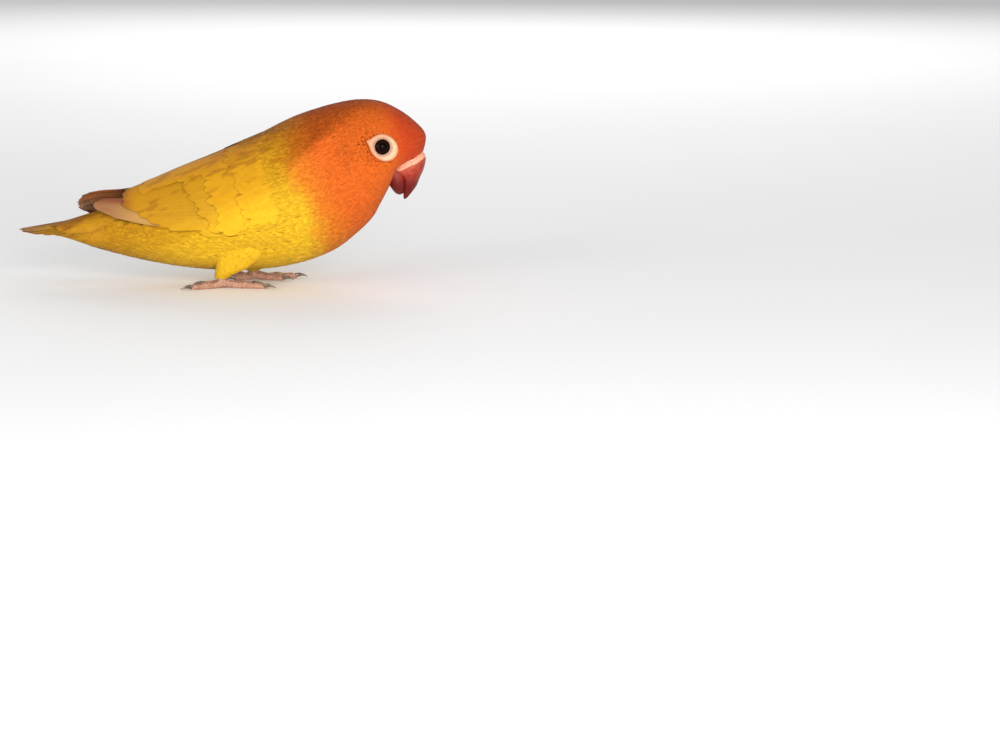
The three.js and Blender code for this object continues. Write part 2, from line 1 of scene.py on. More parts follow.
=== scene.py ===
import bpy
import numpy as np
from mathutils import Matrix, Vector


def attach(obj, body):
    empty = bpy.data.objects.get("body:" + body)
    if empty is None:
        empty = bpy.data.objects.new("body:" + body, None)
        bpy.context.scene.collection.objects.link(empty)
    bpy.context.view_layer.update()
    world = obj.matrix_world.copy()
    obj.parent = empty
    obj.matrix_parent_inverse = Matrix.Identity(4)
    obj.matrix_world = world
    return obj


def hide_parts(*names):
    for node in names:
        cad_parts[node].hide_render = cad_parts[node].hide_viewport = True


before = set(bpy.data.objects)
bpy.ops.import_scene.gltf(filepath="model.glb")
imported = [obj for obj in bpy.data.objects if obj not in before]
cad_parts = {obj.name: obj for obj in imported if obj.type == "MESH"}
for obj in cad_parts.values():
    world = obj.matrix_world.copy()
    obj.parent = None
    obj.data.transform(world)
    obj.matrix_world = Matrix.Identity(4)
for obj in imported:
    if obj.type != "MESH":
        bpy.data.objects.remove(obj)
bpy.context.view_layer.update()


# Skin: the bird's own skin over a padded body, in one closed piece from the tail to the base of the bill.
# It lies inside the feathered outline by the depth of the coat. Each cross-section of the bird stands on the
# line from the belly's outline to the back's.
MM = 0.001
OUTLINE = MM * np.array([
    # back x and z, belly x and z, half width, the folded wing's lift over the back and spread over the flank
    [-60, 20.2, -60, 17.0, 4.2, 5.2, 0.6],
    [-52, 22.7, -52, 14.8, 5.6, 6.0, 1.0],
    [-43, 25.6, -43, 12.3, 7.2, 6.0, 2.0],
    [-34, 28.6, -34, 9.9, 9.8, 4.6, 2.8],
    [-25, 32.9, -23, 7.5, 12.8, 3.6, 2.8],
    [-14, 38.2, -11, 5.7, 15.2, 3.0, 3.1],
    [-3, 43.4, 2, 4.9, 16.6, 2.2, 3.4],
    [7, 48.8, 16, 5.5, 17.2, 1.2, 3.3],
    [16, 53.8, 28.5, 7.9, 17.6, 0.7, 2.8],
    [25, 58.2, 39, 12.2, 17.9, 0.3, 1.7],
    [33, 61.0, 46.5, 17.9, 16.0, 0, 0.8],
    [40, 62.9, 51.8, 23.2, 14.3, 0, 0],
    [47, 64.0, 54.5, 28.0, 13.3, 0, 0],
    [54, 63.5, 56.4, 31.6, 12.8, 0, 0],
    [60.2, 60.9, 57.8, 34.4, 11.7, 0, 0],
    [65.9, 56.9, 58.6, 36.8, 9.9, 0, 0],
    [70.1, 51.9, 58.8, 38.6, 7.6, 0, 0],
    [69.3, 45.4, 58.7, 40.0, 5.4, 0, 0],
])
FACE = len(OUTLINE) - 1
COAT_STATIONS = [0, 3, 9, 12, 15, FACE]
COAT_DEPTHS = MM * np.array([0.9, 1.4, 1.4, 1.0, 0.7, 0.4])


def spline(rows, place):
    """The rows' values at a place counted in rows: a cubic through each row, whose slope there is that of the
    straight line between the rows on either side of it."""
    rows = np.vstack([2 * rows[0] - rows[1], rows, 2 * rows[-1] - rows[-2]])
    place = np.asarray(place, float)
    k = np.clip(np.floor(place).astype(int), 0, len(rows) - 4)
    w = (place - k)[..., None]
    leave, reach = (rows[k + 2] - rows[k]) / 2, (rows[k + 3] - rows[k + 1]) / 2
    step = rows[k + 2] - rows[k + 1]
    return rows[k + 1] + leave * w + (3 * step - 2 * leave - reach) * w**2 + (leave + reach - 2 * step) * w**3


def on_body(station, angle, height=0.0, wing=0.0):
    """A point of the oval section at a station, at an angle from the back that is positive to the left. The
    section's own up runs from the belly to the back, and height lifts the point along the oval's normal. wing
    is 0 on the body and 1 on the outer face of the folded wing."""
    station, angle, height, wing = np.broadcast_arrays(station, angle, height, wing)
    back_x, back_z, belly_x, belly_z, half, lift, spread = np.moveaxis(spline(OUTLINE, station), -1, 0)
    depth = np.hypot(back_x - belly_x, back_z - belly_z)
    half = half + wing * spread
    c, s = np.cos(angle), np.sin(angle)
    tall = depth / 2 + np.where(c > 0, wing * lift, 0)
    size = np.hypot(c / tall, s / half)
    rise = (depth / 2 + tall * c + height * c / tall / size) / depth
    x = belly_x + (back_x - belly_x) * rise
    z = belly_z + (back_z - belly_z) * rise
    return np.stack([x, half * s + height * s / half / size, z], -1)


def coat_depth(station):
    """Depth of the feathers, from straight lines between a few stations."""
    return np.interp(station, COAT_STATIONS, COAT_DEPTHS)


def skin_point(station, angle):
    """The body's surface lowered by the coat. From the rump backwards its upper half is pressed flat, to make
    room for the roots of the tail feathers."""
    point = on_body(station, angle, -coat_depth(station))
    sink = np.clip((3.5 - station) / 1.2, 0, 1)
    middle = spline(OUTLINE, station)[..., [1, 3]].mean(-1)
    point[..., 2] -= 0.75 * sink * np.clip(point[..., 2] - middle, 0, None)
    return point


def volume(points, faces):
    """Six times the volume inside closed faces, negative where they point inwards: the sum of the triple
    products of each face's fan of triangles."""
    total = 0.0
    for face in faces:
        first = points[face[:, 0]]
        for k in range(1, face.shape[1] - 1):
            total += np.sum(first * np.cross(points[face[:, k]], points[face[:, k + 1]]))
    return total


def new_piece(name, points, faces, flat=()):
    """A mesh object from its points and from arrays of faces, each array with one number of corners, turned
    so that they point outwards. The arrays that flat counts are shaded flat, and all the others smooth."""
    points = np.asarray(points, np.float32).reshape(-1, 3)
    if volume(points, faces) < 0:
        faces = [f[:, ::-1] for f in faces]
    corners = np.concatenate([f.ravel() for f in faces]).astype(np.int32)
    sizes = np.concatenate([np.full(len(f), f.shape[1]) for f in faces]).astype(np.int32)
    smooth = np.concatenate([np.full(len(f), i not in flat) for i, f in enumerate(faces)])
    mesh = bpy.data.meshes.new(name)
    mesh.vertices.add(len(points))
    mesh.vertices.foreach_set("co", points.ravel())
    mesh.loops.add(len(corners))
    mesh.loops.foreach_set("vertex_index", corners)
    mesh.polygons.add(len(sizes))
    mesh.polygons.foreach_set("loop_start", (np.cumsum(sizes) - sizes).astype(np.int32))
    mesh.polygons.foreach_set("use_smooth", smooth)
    mesh.update(calc_edges=True)
    piece = bpy.data.objects.new(name, mesh)
    bpy.context.scene.collection.objects.link(piece)
    return piece


def tube(name, rings):
    """A closed skin through rings of points: four-cornered faces between neighbouring rings, and a fan of
    triangles from the middle of each end ring."""
    rows, around = rings.shape[:2]
    points = np.concatenate([rings.reshape(-1, 3), rings[:1].mean(1), rings[-1:].mean(1)])
    i, j = np.meshgrid(np.arange(rows - 1), np.arange(around), indexing="ij")
    a, b = (i * around + j).ravel(), (i * around + (j + 1) % around).ravel()
    sides = np.stack([a, b, b + around, a + around], -1)
    j = np.arange(around)
    after = (j + 1) % around
    last = (rows - 1) * around
    start = np.stack([after, j, np.full(around, rows * around)], -1)
    end = np.stack([last + j, last + after, np.full(around, rows * around + 1)], -1)
    return new_piece(name, points, [sides, np.concatenate([start, end])])


def turns(count):
    """The angles of evenly spaced corners of a ring."""
    return 2 * np.pi * np.arange(count) / count


SKIN_START, SKIN_ROWS, SKIN_CORNERS = 0.6, 170, 96
stations = np.linspace(SKIN_START, FACE, SKIN_ROWS)[:, None]
skin = tube("skin", skin_point(stations, turns(SKIN_CORNERS)))

THIGH = MM * np.array([
    # forward of the ankle, height, half width
    [9.5, 19, 2],
    [9, 17.5, 5],
    [7, 13.5, 7],
    [4.2, 9.8, 6.2],
    [1.6, 6.6, 4.4],
    [0, 4.6, 3.2],
    [-0.6, 3.6, 2.6],
])
THIGH_LEVELS = MM * np.array([4.8, 7, 9.8, 13.5, 15.5, 17.5])
THIGH_FLATNESS = [0.82, 0.63, 0.47, 0.47, 0.55, 0.66]  # its width over its length at those levels
THIGH_ROWS, THIGH_CORNERS = 24, 32
THIGH_COAT = 1.1 * MM
ANKLE = 3.6 * MM
FOOT_SPREAD = 9.5 * MM
LEGS = {"left": (1, 10.5 * MM), "right": (-1, 0.8 * MM)}  # side, and the ankle's x


def on_thigh(side, ankle, place, angle, height=0.0):
    """A point of the thigh's flattened cone: place counts the rows of THIGH from the flank down, straight
    lines between a few levels give its flatness, and the rings tip forwards and down, more so towards the
    flank."""
    place, angle, height = np.broadcast_arrays(place, angle, height)
    forward, level, half = np.moveaxis(spline(THIGH, place), -1, 0)
    half = half + height
    tip = 0.25 * half * np.cos(angle) * np.clip((level - ANKLE) / (4 * MM), 0, 1)
    flat = np.interp(level, THIGH_LEVELS, THIGH_FLATNESS)
    y = side * (FOOT_SPREAD + 0.12 * (level - ANKLE)) + flat * half * np.sin(angle)
    return np.stack([ankle + forward + half * np.cos(angle), y, level - tip], -1)


def unite(piece, others):
    """Joins closed pieces into the first by a Boolean union and removes them."""
    for other in others:
        modifier = piece.modifiers.new("union", "BOOLEAN")
        modifier.operation = "UNION"
        modifier.solver = "EXACT"
        modifier.object = other
    bpy.context.view_layer.update()
    joined = bpy.data.meshes.new_from_object(piece.evaluated_get(bpy.context.evaluated_depsgraph_get()))
    piece.modifiers.clear()
    piece.data = joined
    for other in others:
        bpy.data.objects.remove(other)


thighs = []
places = np.linspace(0, len(THIGH) - 1, THIGH_ROWS)[:, None]
for name, (side, ankle) in LEGS.items():
    form = on_thigh(side, ankle, places, turns(THIGH_CORNERS), -THIGH_COAT)
    thighs.append(tube("thigh_form_" + name, form))
unite(skin, thighs)
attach(skin, "root")
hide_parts("torso", "neck", "head", "thigh_left", "thigh_right")


WHOLE_TURN = 6.283  # radians


class Signal:
    """An output of a shader node. Arithmetic on it adds Math nodes, also with a plain number on either
    side."""

    def __init__(self, tree, socket=None):
        self.tree = tree
        self.socket = socket

    def node(self, kind, settings, sockets, output=0):
        """One output of a new node of a kind, after its settings and then its sockets are set."""
        made = self.tree.nodes.new("ShaderNode" + kind)
        for key, value in settings.items():
            setattr(made, key, value)
        for key, value in sockets.items():
            if isinstance(value, Signal):
                self.tree.links.new(value.socket, made.inputs[key])
            else:
                made.inputs[key].default_value = value
        return Signal(self.tree, made.outputs[output])

    def math(self, operation, *others):
        """A Math node on this and on the others."""
        values = dict(enumerate((self, *others)))
        return self.node("Math", {"operation": operation}, values)

    def __add__(self, other):
        return self.math("ADD", other)

    __radd__ = __add__

    def __mul__(self, other):
        return self.math("MULTIPLY", other)

    __rmul__ = __mul__

    def __sub__(self, other):
        return self.math("SUBTRACT", other)

    def __rsub__(self, other):
        return self * -1 + other

    def ramp(self, low, high):
        """0 below low and 1 above high, with a smooth step between them."""
        sockets = {"Value": self, "From Min": low, "From Max": high}
        return self.node("MapRange", {"interpolation_type": "SMOOTHSTEP"}, sockets)

    def ramp_mm(self, low, high):
        """The same between two lengths in millimetres."""
        return self.ramp(low * MM, high * MM)

    def wave(self):
        """The sine of this many whole turns."""
        return (self * WHOLE_TURN).math("SINE")

    def mix(self, first, second):
        """The first colour where this mask is 0 and the second where it is 1."""
        return self.node("Mix", {"data_type": "RGBA"}, {0: self, 6: first, 7: second}, 2)

    def dim(self, light):
        """This colour times a number."""
        return self.node("VectorMath", {"operation": "SCALE"}, {0: self, "Scale": light})

    def parts(self):
        """The three numbers of a vector."""
        split = self.node("SeparateXYZ", {}, {0: self})
        return [Signal(self.tree, s) for s in split.socket.node.outputs]

    def noise(self, scale, detail=2.0):
        """Soft noise round 0.5 at this place, with features of about 1 / scale metres."""
        return self.node("TexNoise", {}, {"Vector": self, "Scale": scale, "Detail": detail})

    def bump(self, distance, **normal):
        """Normals for a relief of this height, distance metres deep."""
        return self.node("Bump", {}, {"Height": self, "Distance": distance, **normal})


class Finish:
    """A material with one Principled shader."""

    def __init__(self, name, **uniform):
        self.material = bpy.data.materials.new(name)
        self.material.use_nodes = True
        self.tree = self.material.node_tree
        self.shader = self.tree.nodes["Principled BSDF"]
        for key, value in uniform.items():
            self.shader.inputs[key.replace("_", " ")].default_value = value
        self.place = Signal(self.tree).node("TexCoord", {}, {}, "Object")

    def attribute(self, name, output="Fac"):
        """What the mesh's points carry under a name."""
        return self.place.node("Attribute", {"attribute_name": name}, {}, output)

    def vane(self):
        """The place across and along a feather's vane, and the feather's own tone, all from 0 to 1."""
        across, along, _ = self.place.node("UVMap", {"uv_map": "vane"}, {}).parts()
        return across, along, self.attribute("tone")

    def soft_normal(self, share):
        """The mesh's normal, turned by a share towards that of the whole plumage, since barbs scatter
        light."""
        own = self.place.node("NewGeometry", {}, {}, "Normal")
        sockets = {0: share, 4: own, 5: self.attribute("out", "Vector")}
        mixed = own.node("Mix", {"data_type": "VECTOR"}, sockets, 1)
        return mixed.node("VectorMath", {"operation": "NORMALIZE"}, {0: mixed})

    def feed(self, **signals):
        """Links signals to the shader's sockets of their names."""
        for key, signal in signals.items():
            self.tree.links.new(signal.socket, self.shader.inputs[key.replace("_", " ")])

    def paint(self, *pieces):
        """Gives pieces this material alone."""
        for piece in pieces:
            piece.data.materials.clear()
            piece.data.materials.append(self.material)


def shade(code):
    """A display colour written as six hex digits, as the linear colour that shaders use."""
    display = np.array([int(code[i:i + 2], 16) / 255 for i in (0, 2, 4)])
    linear = np.where(display > 0.04045, ((display + 0.055) / 1.055) ** 2.4, display / 12.92)
    return (*linear, 1.0)


def plumage(place):
    """The bird's markings at a place: orange from the bill to the breast, redder on the forehead, and browner
    on the crown and nape, which painted shade also darkens. The soft border to the yellow body leans forward
    from the back to the breast. The yellow darkens upwards as painted shade. It turns to ochre in streaks
    along the back, partly as painted shade, with darker streaks of painted shadow under feather edges. It is
    duller towards the tail, and the top of the rump is browner and darkened by painted shade."""
    x, y, z = place.parts()
    blotch = place.noise(160.0) - 0.5
    fine = place.noise(700.0) - 0.5
    lean = z.ramp_mm(22, 49) * (12.8 * MM)
    border = x + lean - 33.3 * MM + blotch * (7 * MM) + fine * (4 * MM)
    orange = border.ramp_mm(-4.5, 4.5)

    along, upward = x * 0.92 + z * 0.39, z * 0.92 - x * 0.39
    streak = place.node("CombineXYZ", {}, {"X": along * 0.3, "Y": y, "Z": upward}).noise(420.0, 3.0) - 0.5
    level = upward + streak * (9 * MM)
    # Painted shade: the yellow darkens upwards, as the upper body would in shade.
    yellow_shaded_upward = level.ramp_mm(14, 32).mix(shade("fac424"), shade("d49812"))
    dull = (1 - (x + blotch * (20 * MM)).ramp_mm(-50, 0)) * 0.85
    # Partly painted shade: along the back the yellow turns to a duller ochre, and is darkened as the top of
    # the body would be in shade.
    ochre_and_shade = x.ramp_mm(-14, 6).mix(shade("d8940f"), shade("bf790d"))
    yellow = level.ramp_mm(36, 43).mix(dull.mix(yellow_shaded_upward, shade("c98d14")), ochre_and_shade)
    # Painted shadow: dark streaks along the back, as cast under the edges of feathers.
    edge_shadow = streak.ramp(0.05, 0.14) * upward.ramp_mm(27, 36) * (1 - x.ramp_mm(18, 30))
    yellow = (edge_shadow * 0.6).mix(yellow, shade("a86c0c"))
    # Partly painted shade: the top of the rump is browner, and darker as the upper contour would be in shade.
    rump = (1 - x.ramp_mm(-46, -38)) * (level.ramp_mm(37, 40.5) * 0.7)
    yellow = rump.mix(yellow, shade("8c5410"))

    breast = (x + z * 0.5 + fine * (6 * MM)).ramp_mm(43, 60).mix(shade("f28c22"), shade("f26e20"))
    ear = (x + blotch * (8 * MM)).ramp_mm(36, 44) * (1 - x.ramp_mm(52, 62))
    breast = (ear * ((z + blotch * (6 * MM)).ramp_mm(38, 47) * 0.45)).mix(breast, shade("c4560e"))
    slope = z - x * 0.83 + blotch * (4 * MM) + streak * (5 * MM)
    # Partly painted shade: the nape and the crown are browner, and darker as the top of the head would be in
    # shade.
    nape = (x.ramp_mm(20, 34)).mix(shade("c4740c"), shade("b24e08"))
    crown = (z + fine * (3 * MM)).ramp_mm(59, 64) * 0.6
    face = slope.ramp_mm(18.6, 26.5).mix(crown.mix(breast, shade("b24e08")), nape)
    front = (x + z * 0.25 + fine * (5 * MM)).ramp_mm(68, 77)
    face = front.mix(face, shade("d84a1a"))
    return orange.mix(yellow, face)


skin_finish = Finish("skin_under_plumage", Roughness=0.9, Specular_IOR_Level=0.1)
skin_finish.feed(
    Base_Color=skin_finish.place.node(
        "Mix",
        {"data_type": "RGBA", "blend_type": "MULTIPLY"},
        {0: 1.0, 6: plumage(skin_finish.place), 7: (0.85, 0.78, 0.72, 1)},
        2,
    ),
    Normal=skin_finish.place.noise(900.0).bump(0.2 * MM),
)
skin_finish.paint(skin)


# Small feathers of the head and body: thousands of soft vanes, rooted in the skin row on row and lying
# towards the tail, with loose barbs over them. They are tiny round the bill and the eyes, and part round the
# bare ring of each eye.
GOLDEN_PLANE = 1.32471795724  # its powers spread a series of points evenly over a square


class Outline:
    """A feather's half width along its length: a quarter sine from the root's share up to the widest place,
    then a rounded end."""

    def __init__(self, root, widest, round_power):
        self.root = root
        self.widest = widest
        self.round_power = round_power

    def __call__(self, t):
        rise = self.root + (1 - self.root) * np.sin(np.pi / 2 * np.clip(t / self.widest, 0, 1))
        beyond = np.clip((t - self.widest) / (1 - self.widest), 0, 1)
        return rise * np.sqrt(1 - 0.985 * beyond**self.round_power)


CONTOUR = Outline(0.45, 0.68, 2.8)
BARB = Outline(0.5, 0.3, 1.3)
COVERT = Outline(0.7, 0.62, 2.6)
QUILL = Outline(0.62, 0.5, 12.0)


def dot(first, second):
    """The sum of the products over the last axis of two arrays of vectors."""
    return np.sum(first * second, -1)


def unit(vectors, least=0.0):
    """Vectors over their own lengths, or over least where they are shorter."""
    return vectors / np.maximum(np.linalg.norm(vectors, axis=-1, keepdims=True), least)


def carry(piece, name, values, kind="FLOAT"):
    """Stores a number, or a vector, with each point of a piece, for its material to read by name."""
    stored = piece.data.attributes.new(name, kind, "POINT").data
    stored.foreach_set("value" if kind == "FLOAT" else "vector", values.astype(np.float32).ravel())


def grow(name, surface, root, tip, width, heights, outline, rng, grid=(7, 4), arch=0.015, tilt=0.0, ridge=0.0,
         dip=0.0, ragged=0.05, patch=0.0):
    """One mesh of closed vanes. Along its length t from root to tip and across it from u = -1 to 1, a vane
    follows the surface's two parameters: across moves by u times the outline's share of half the width. Its
    three heights are the root's, the one at which it comes to lie and the tip's: a straight rise from the
    second to the third, to which the root adds a drop that fades as the sixth power, and from which the tip
    dips as the sixth power. It arches down towards both edges by arch times the width times u squared, tips
    by tilt towards u = 1 and has a ridge in the middle. Its end is ragged, and drawn back at both edges by a
    fifth of the width. The under side is flat between the edges. The map for baking gives each vane a patch
    at its root's place in the span of all the roots. Each point carries its feather's tone and the way out of
    the surface."""
    count = len(root)
    rows, columns = grid
    t = (1 - (1 - np.linspace(0, 1, rows + 1)) ** 1.45)[None, :, None]
    u = np.linspace(-1, 1, columns + 1)[None, None, :]
    width = np.broadcast_to(width, (count,))
    heights = np.broadcast_to(heights, (count, 3))
    line = root[:, None] + (tip - root)[:, None] * t[0]
    step = 1e-3
    ahead = surface(line[..., 0], line[..., 1] + step, 0.0)
    span = np.linalg.norm(ahead - surface(line[..., 0], line[..., 1] - step, 0.0), axis=-1) / (2 * step)
    notch = ragged * (rng.random((count, 1, columns + 1)) - 0.5)
    length = np.linalg.norm(surface(*tip.T, 0.0) - surface(*root.T, 0.0), axis=-1)
    reach = t * (1 - 0.2 * (width / length)[:, None, None] * u**2 * t**3) + notch * t**5
    along = root[:, 0, None, None] + (tip - root)[:, 0, None, None] * reach
    aside = u * outline(t) * (width[:, None] / 2 / span)[..., None]
    across = root[:, 1, None, None] + (tip - root)[:, 1, None, None] * t + aside
    start, lie, end = heights.T[..., None, None]
    lift = lie + (end - lie) * t + (start - lie) * (1 - t) ** 6 - dip * t**6
    lift = lift - arch * width[:, None, None] * u**2 * outline(t) + tilt * u * outline(t)
    lift = lift + ridge * np.exp(-((u / 0.12) ** 2)) * (1 - t)
    points = surface(along, across, np.broadcast_to(lift, along.shape))

    wide = columns + 1
    size = (rows + 1) * wide
    i, j = np.meshgrid(np.arange(rows), np.arange(columns), indexing="ij")
    a = (i * wide + j).ravel()
    top = np.stack([a, a + 1, a + wide + 1, a + wide], -1)
    left = np.arange(rows) * wide
    under = np.stack([left, left + wide, left + wide + columns, left + columns], -1)
    root_end = np.arange(wide)[None, ::-1]
    tip_end = (rows * wide + np.arange(wide))[None]
    faces = [top, under, root_end, tip_end]
    shift = (np.arange(count) * size)[:, None, None]
    faces = [(f[None] + shift).reshape(-1, f.shape[1]) for f in faces]
    piece = new_piece(name, points, faces, flat=(1, 2, 3))

    mesh = piece.data
    vertex = np.empty(len(mesh.loops), np.int32)
    mesh.loops.foreach_get("vertex_index", vertex)
    own = np.stack(np.broadcast_arrays(u, t, along)[:2], -1).reshape(-1, 2)
    vane_map = mesh.uv_layers.new(name="vane")
    vane_map.uv.foreach_set("vector", (own[vertex] * [0.5, 1] + [0.5, 0]).astype(np.float32).ravel())
    if patch:
        low, high = root.min(0), root.max(0)
        base = 0.01 + 0.97 * (root - low)[:, None, None, :] / (high - low)
        base = base + patch * (own.reshape(*along.shape, 2) * [0.5, 1] - [0, 0.5])
        bake = mesh.uv_layers.new(name="OFBake")
        bake.uv.foreach_set("vector", base.reshape(-1, 2)[vertex].astype(np.float32).ravel())
    carry(piece, "tone", np.repeat(rng.random(count), size))
    onward = surface(along + step, across, 0.0) - surface(along - step, across, 0.0)
    beside = surface(along, across + step, 0.0) - surface(along, across - step, 0.0)
    out = unit(np.cross(onward, beside), 1e-12)
    rise = surface(along, across, 1 * MM) - surface(along, across, 0.0)
    carry(piece, "out", out * np.sign(dot(out, rise))[..., None], "FLOAT_VECTOR")
    return piece


def scatter(surface, first, second, spacing, keep, crowd=1.0):
    """Roots spread evenly over a surface of two parameters. Each cell of a fine grid counts for its area over
    the square of the spacing there, and a low-discrepancy series is sent through the running sums, first
    along and then across."""
    along, across = np.meshgrid(first, second, indexing="ij")
    points = surface(along, across, 0.0)
    sides = np.gradient(points, axis=0), np.gradient(points, axis=1)
    area = np.linalg.norm(np.cross(*sides), axis=-1)
    weight = area / spacing(along, across) ** 2 * keep(along, across, points) + 1e-9
    count = int(crowd * weight.sum())
    k = np.arange(count)
    a, b = (0.5 + k / GOLDEN_PLANE) % 1, (0.5 + k / GOLDEN_PLANE**2) % 1
    rows = np.cumsum(weight.sum(1))
    rows = rows / rows[-1]
    place = np.interp(a, rows, np.arange(len(rows)))
    row = np.round(place).astype(int)
    cells = np.cumsum(weight, axis=1)
    cells = cells / cells[:, -1:] + np.arange(len(rows))[:, None]
    found = np.searchsorted(cells.ravel(), row + b)
    low = np.clip(found - row * len(second), 0, len(second) - 1)
    before = np.where(low > 0, cells[row, low - 1], row)
    part = (row + b - before) / np.maximum(cells[row, low] - before, 1e-12)
    column = np.clip(low - 1 + part, 0, len(second) - 1)
    chosen = np.stack([
        np.interp(place, np.arange(len(first)), first),
        np.interp(column, np.arange(len(second)), second),
    ], -1)
    shown = surface(chosen[:, 0], chosen[:, 1], 0.0)
    return chosen[keep(chosen[:, 0], chosen[:, 1], shown) > 0.5]


def slopes(surface, place):
    """The surface's tangents along its two parameters, by small differences."""
    step = 1e-3
    along, across = place[:, 0], place[:, 1]
    return (
        (surface(along + step, across, 0.0) - surface(along - step, across, 0.0)) / (2 * step),
        (surface(along, across + step, 0.0) - surface(along, across - step, 0.0)) / (2 * step),
    )


def follow(surface, place, way, length):
    """The place that a feather's tip reaches: the step along both parameters whose move along the surface
    comes nearest to the way, by least squares."""
    first, second = slopes(surface, place)
    aa, ab, bb = dot(first, first), dot(first, second), dot(second, second)
    ra, rb = dot(way, first), dot(way, second)
    scale = length / (aa * bb - ab**2)
    return place + np.stack([(ra * bb - rb * ab) * scale, (rb * aa - ra * ab) * scale], -1)


EYE_STATION = 13.1
EYE_ANGLE = np.radians(84.8)
EYE_FORWARD, EYE_UP = np.radians(10), np.radians(4)
RING_RADIUS = 4.85 * MM
RING_SHIFT = np.array([0.5, -0.3]) * MM  # the ring's middle from the eye's, forward and up
CORNER_ANGLE = np.radians(158)  # of the ring's corner, from the bill's way
CORNER_LENGTH = 1.6 * MM
LEAN = 0.38 * MM  # by which the ring is longer to below in front and shorter to below behind


def eye_frame(side):
    """The middle of the eye's opening, and the unit vectors forward, up and out of the eye."""
    level = np.cos(EYE_UP)
    out = np.array([np.sin(EYE_FORWARD) * level, side * np.cos(EYE_FORWARD) * level, np.sin(EYE_UP)])
    up = np.array([0, 0, 1]) - out[2] * out
    up /= np.linalg.norm(up)
    forward = np.cross(up, out) * -side
    return on_body(EYE_STATION, side * EYE_ANGLE, -0.2 * MM), forward, up, out


def ring_radius(angle):
    """The bare ring's radius at an angle from the bill's way: an oval that leans with a cosine of twice the
    angle, with a corner behind the eye that fades as an exponential to both sides."""
    off = np.abs(np.angle(np.exp(1j * (angle - CORNER_ANGLE))))
    oval = LEAN * np.cos(2 * angle + np.radians(74)) + 0.16 * MM * np.cos(angle)
    return RING_RADIUS - 0.08 * MM + oval + CORNER_LENGTH * np.exp(-off / 0.17)


def off_ring(points):
    """Distance of points from the edge of the nearer eye's bare ring, and the way in which feathers part
    round it: the velocity of a stream that flows past a cylinder, without the stream's own. It fades as a
    line towards behind, where the feathers lie straight again."""
    to_left = points[..., 1:2] > 0
    frames = zip(eye_frame(1)[:3], eye_frame(-1)[:3])
    middle, forward, up = (np.where(to_left, left, right) for left, right in frames)
    apart = points - middle
    u = dot(apart, forward) - RING_SHIFT[0]
    v = dot(apart, up) - RING_SHIFT[1]
    distance = np.hypot(u, v)
    pull = (RING_RADIUS / np.maximum(distance, RING_RADIUS)) ** 2
    turn = pull / np.maximum(distance, RING_RADIUS) ** 2 * np.clip(u / RING_RADIUS * 0.3 + 0.27, 0, 0.5)
    part = (turn * (u**2 - v**2))[..., None] * forward + (turn * 2 * u * v)[..., None] * up
    return distance - ring_radius(np.arctan2(v, u)), part


SPACING_STATIONS = [3, 6, 9, 11, 13, 15, FACE]
SPACINGS = [1.35, 1.25, 1.1, 0.95, 0.8, 0.64, 0.5]


def body_spacing(station, angle):
    """Distance between feather roots, from straight lines between a few stations."""
    return MM * np.interp(station, SPACING_STATIONS, SPACINGS)


WING_EDGES = np.radians([
    # the folded wing's upper and lower edge at each station, from the back
    [3, 52], [3, 66], [1, 60], [0.5, 72], [0.5, 86], [1, 97], [4, 106], [11, 109], [21, 107], [34, 100],
    [50, 90], [60, 80], [60, 80], [60, 80], [60, 80], [60, 80], [60, 80], [60, 80],
])
TAIL_END = 2.2  # the station of the last small feathers


def wing_edges(station):
    """The angles of the folded wing's upper and lower edge, from a curve through WING_EDGES."""
    return np.moveaxis(spline(WING_EDGES, station), -1, 0)


def smooth(value):
    """A smooth step from 0 to 1."""
    value = np.clip(value, 0, 1)
    return value * value * (3 - 2 * value)


def wing_share(station, across):
    """How far the wing stands off the body: fully at its middle, fading into the breast at the bend and
    partly into the flank along the front of its lower edge."""
    low = np.clip((across - 0.62) / 0.38, 0, 1) ** 2 * np.clip((station - 3) / 3, 0, 1)
    return smooth((9.6 - station) / 2.2) * (1 - low * (0.45 + 0.5 * np.clip((station - 6) / 2, 0, 1)))


def turn_of(angle):
    """The size of an angle from the back, from 0 to pi."""
    return np.abs((angle + np.pi) % (2 * np.pi) - np.pi)


def on_plumage(station, angle, height=0.0, rear=5.5):
    """The outer face of the small feathers: the body, swelling over the front of the wings with soft edges.
    Behind the station called rear it runs on under the wings."""
    upper, lower = wing_edges(station)
    turn = turn_of(angle)
    share = wing_share(station, np.clip((turn - upper) / (lower - upper), 0, 1))
    above = smooth((turn - 0.4 * upper) / (0.6 * upper + 0.02))
    below = smooth(1 - (turn - lower) / 0.35)
    return on_body(station, angle, height, share * above * below * smooth((station - rear) / 1.5))


def bare_of_wing(station, angle, points):
    """1 where small feathers grow: clear of the folded wings but for their edges and their front, of the
    eyes' rings and of the bill's root."""
    upper, lower = wing_edges(station)
    turn = turn_of(angle)
    rump = 0.6 * smooth((3.8 - station) / 0.6)
    covered = (turn > upper + 0.12 + rump) & (turn < lower - 0.12) & (station < 8.0)
    chin = (station > 14.6) & (np.abs(points[..., 1]) < 4.3 * MM) & (turn > 2.1)
    edge, _ = off_ring(points)
    between_ends = (station > TAIL_END) & (station < FACE - 0.03)
    return (~covered & ~chin & (edge > 0.15 * MM) & between_ends).astype(float)


def layered(root, lie, end):
    """The three heights of each feather. Any of them may be one number for all."""
    return np.stack(np.broadcast_arrays(root, lie, end), -1)


